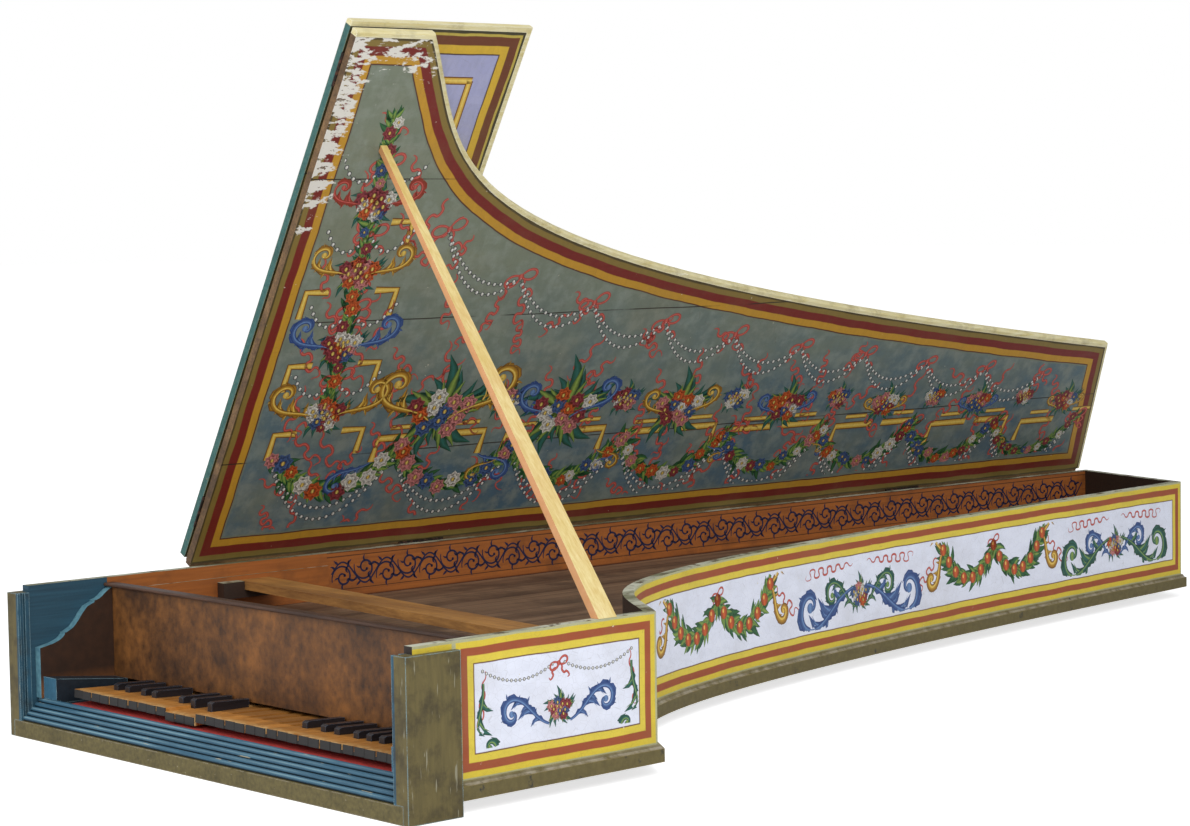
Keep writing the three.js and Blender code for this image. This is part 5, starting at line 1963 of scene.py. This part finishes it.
@dataclass
class Studio:
    """A pale floor, soft lights and the camera that took the picture."""

    camera_place: tuple[float, float, float] = (3.0843, -2.0558, 0.6955)
    right: tuple[float, float, float] = (0.6643, 0.7473, -0.0162)
    above: tuple[float, float, float] = (-0.0394, 0.0566, 0.9976)
    back: tuple[float, float, float] = (0.7464, -0.6621, 0.0670)
    focal_pixels: float = 2952.8
    centre_offset: float = 2.41

    def build(self) -> None:
        """Makes the floor, world, lamps and camera."""
        self.build_floor()
        self.build_world()
        self.build_lamps()
        self.build_camera()
        bpy.context.scene.view_settings.view_transform = "Standard"

    def build_floor(self) -> None:
        """A wide floor that looks white to the camera and takes the object's shadow."""
        s = Shader(bpy.data.materials.new("pale_studio_floor"))
        rays = s.put("LightPath", out="Is Camera Ray")
        pale = s.mix(s.noise(s.place, 4), "#e9e9ea", "#f1f1f0")
        diffuse = s.put("BsdfDiffuse", {"Color": pale})
        white = s.put("Emission", {"Color": "#ffffff", "Strength": 0.72})
        both = s.put("AddShader", {0: diffuse, 1: white})
        seen = s.put("MixShader", {0: rays, 1: diffuse, 2: both})
        s.put("OutputMaterial", {"Surface": seen})
        mesh = bpy.data.meshes.new("studio_floor")
        reach = 40.0
        corners = [(x * reach, y * reach, -0.5 * MM) for x, y in ((-1, -1), (1, -1), (1, 1), (-1, 1))]
        mesh.from_pydata(corners, [], [(0, 1, 2, 3)])
        mesh.materials.append(s.owner)
        floor = bpy.data.objects.new("studio_floor", mesh)
        bpy.context.scene.collection.objects.link(floor)

    def build_world(self) -> None:
        """An even sky that is white to the camera and softer on the object."""
        world = bpy.data.worlds.new("studio_sky")
        bpy.context.scene.world = world
        s = Shader(world)
        rays = s.put("LightPath", out="Is Camera Ray")
        soft = s.put("Background", {"Color": "#f4f6fa", "Strength": 0.5})
        white = s.put("Background", {"Color": "#ffffff"})
        s.put("OutputWorld", {"Surface": s.put("MixShader", {0: rays, 1: soft, 2: white})})

    def build_lamps(self) -> None:
        """Two large soft lamps: one high on the camera's side, one low from the player's side."""
        for name, place, size, power in (
            ("key_lamp", (3.6, -1.4, 3.2), 3.0, 135.0),
            ("fill_lamp", (-0.8, -3.6, 2.2), 2.6, 60.0),
        ):
            lamp = bpy.data.lights.new(name, "AREA")
            lamp.size = size
            lamp.energy = power
            holder = bpy.data.objects.new(name, lamp)
            holder.location = place
            aim = Vector((0, 0.9, 0.2)) - Vector(place)
            holder.rotation_euler = aim.to_track_quat("-Z", "Y").to_euler()
            bpy.context.scene.collection.objects.link(holder)

    def build_camera(self) -> None:
        """Places the camera as the picture's perspective gives it."""
        data = bpy.data.cameras.new("photo_camera")
        data.sensor_width = 36.0
        data.lens = self.focal_pixels * data.sensor_width / PHOTO_WIDTH
        data.shift_x = -self.centre_offset / PHOTO_WIDTH
        data.clip_end = 200.0
        camera = bpy.data.objects.new("photo_camera", data)
        turn = Matrix([self.right, self.above, self.back]).transposed()
        camera.matrix_world = Matrix.Translation(self.camera_place) @ turn.to_4x4()
        bpy.context.scene.collection.objects.link(camera)
        bpy.context.scene.camera = camera


def main() -> None:
    """Builds the studio and dresses every part of the harpsichord in order."""
    logging.basicConfig(level=logging.INFO, format="%(message)s")
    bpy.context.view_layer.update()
    nodes = frame["nodes"]
    Studio().build()
    brushwork = BrushedPigment().material()
    case = Case(brushwork)
    case.dress(nodes)
    case.paint_panels()
    Action().dress(nodes)
    lid = Lid(brushwork)
    lid.build(nodes)
    lid.paint_inside()
    lid.paint_flap()
    bpy.context.view_layer.update()


if __name__ == "__main__":
    main()
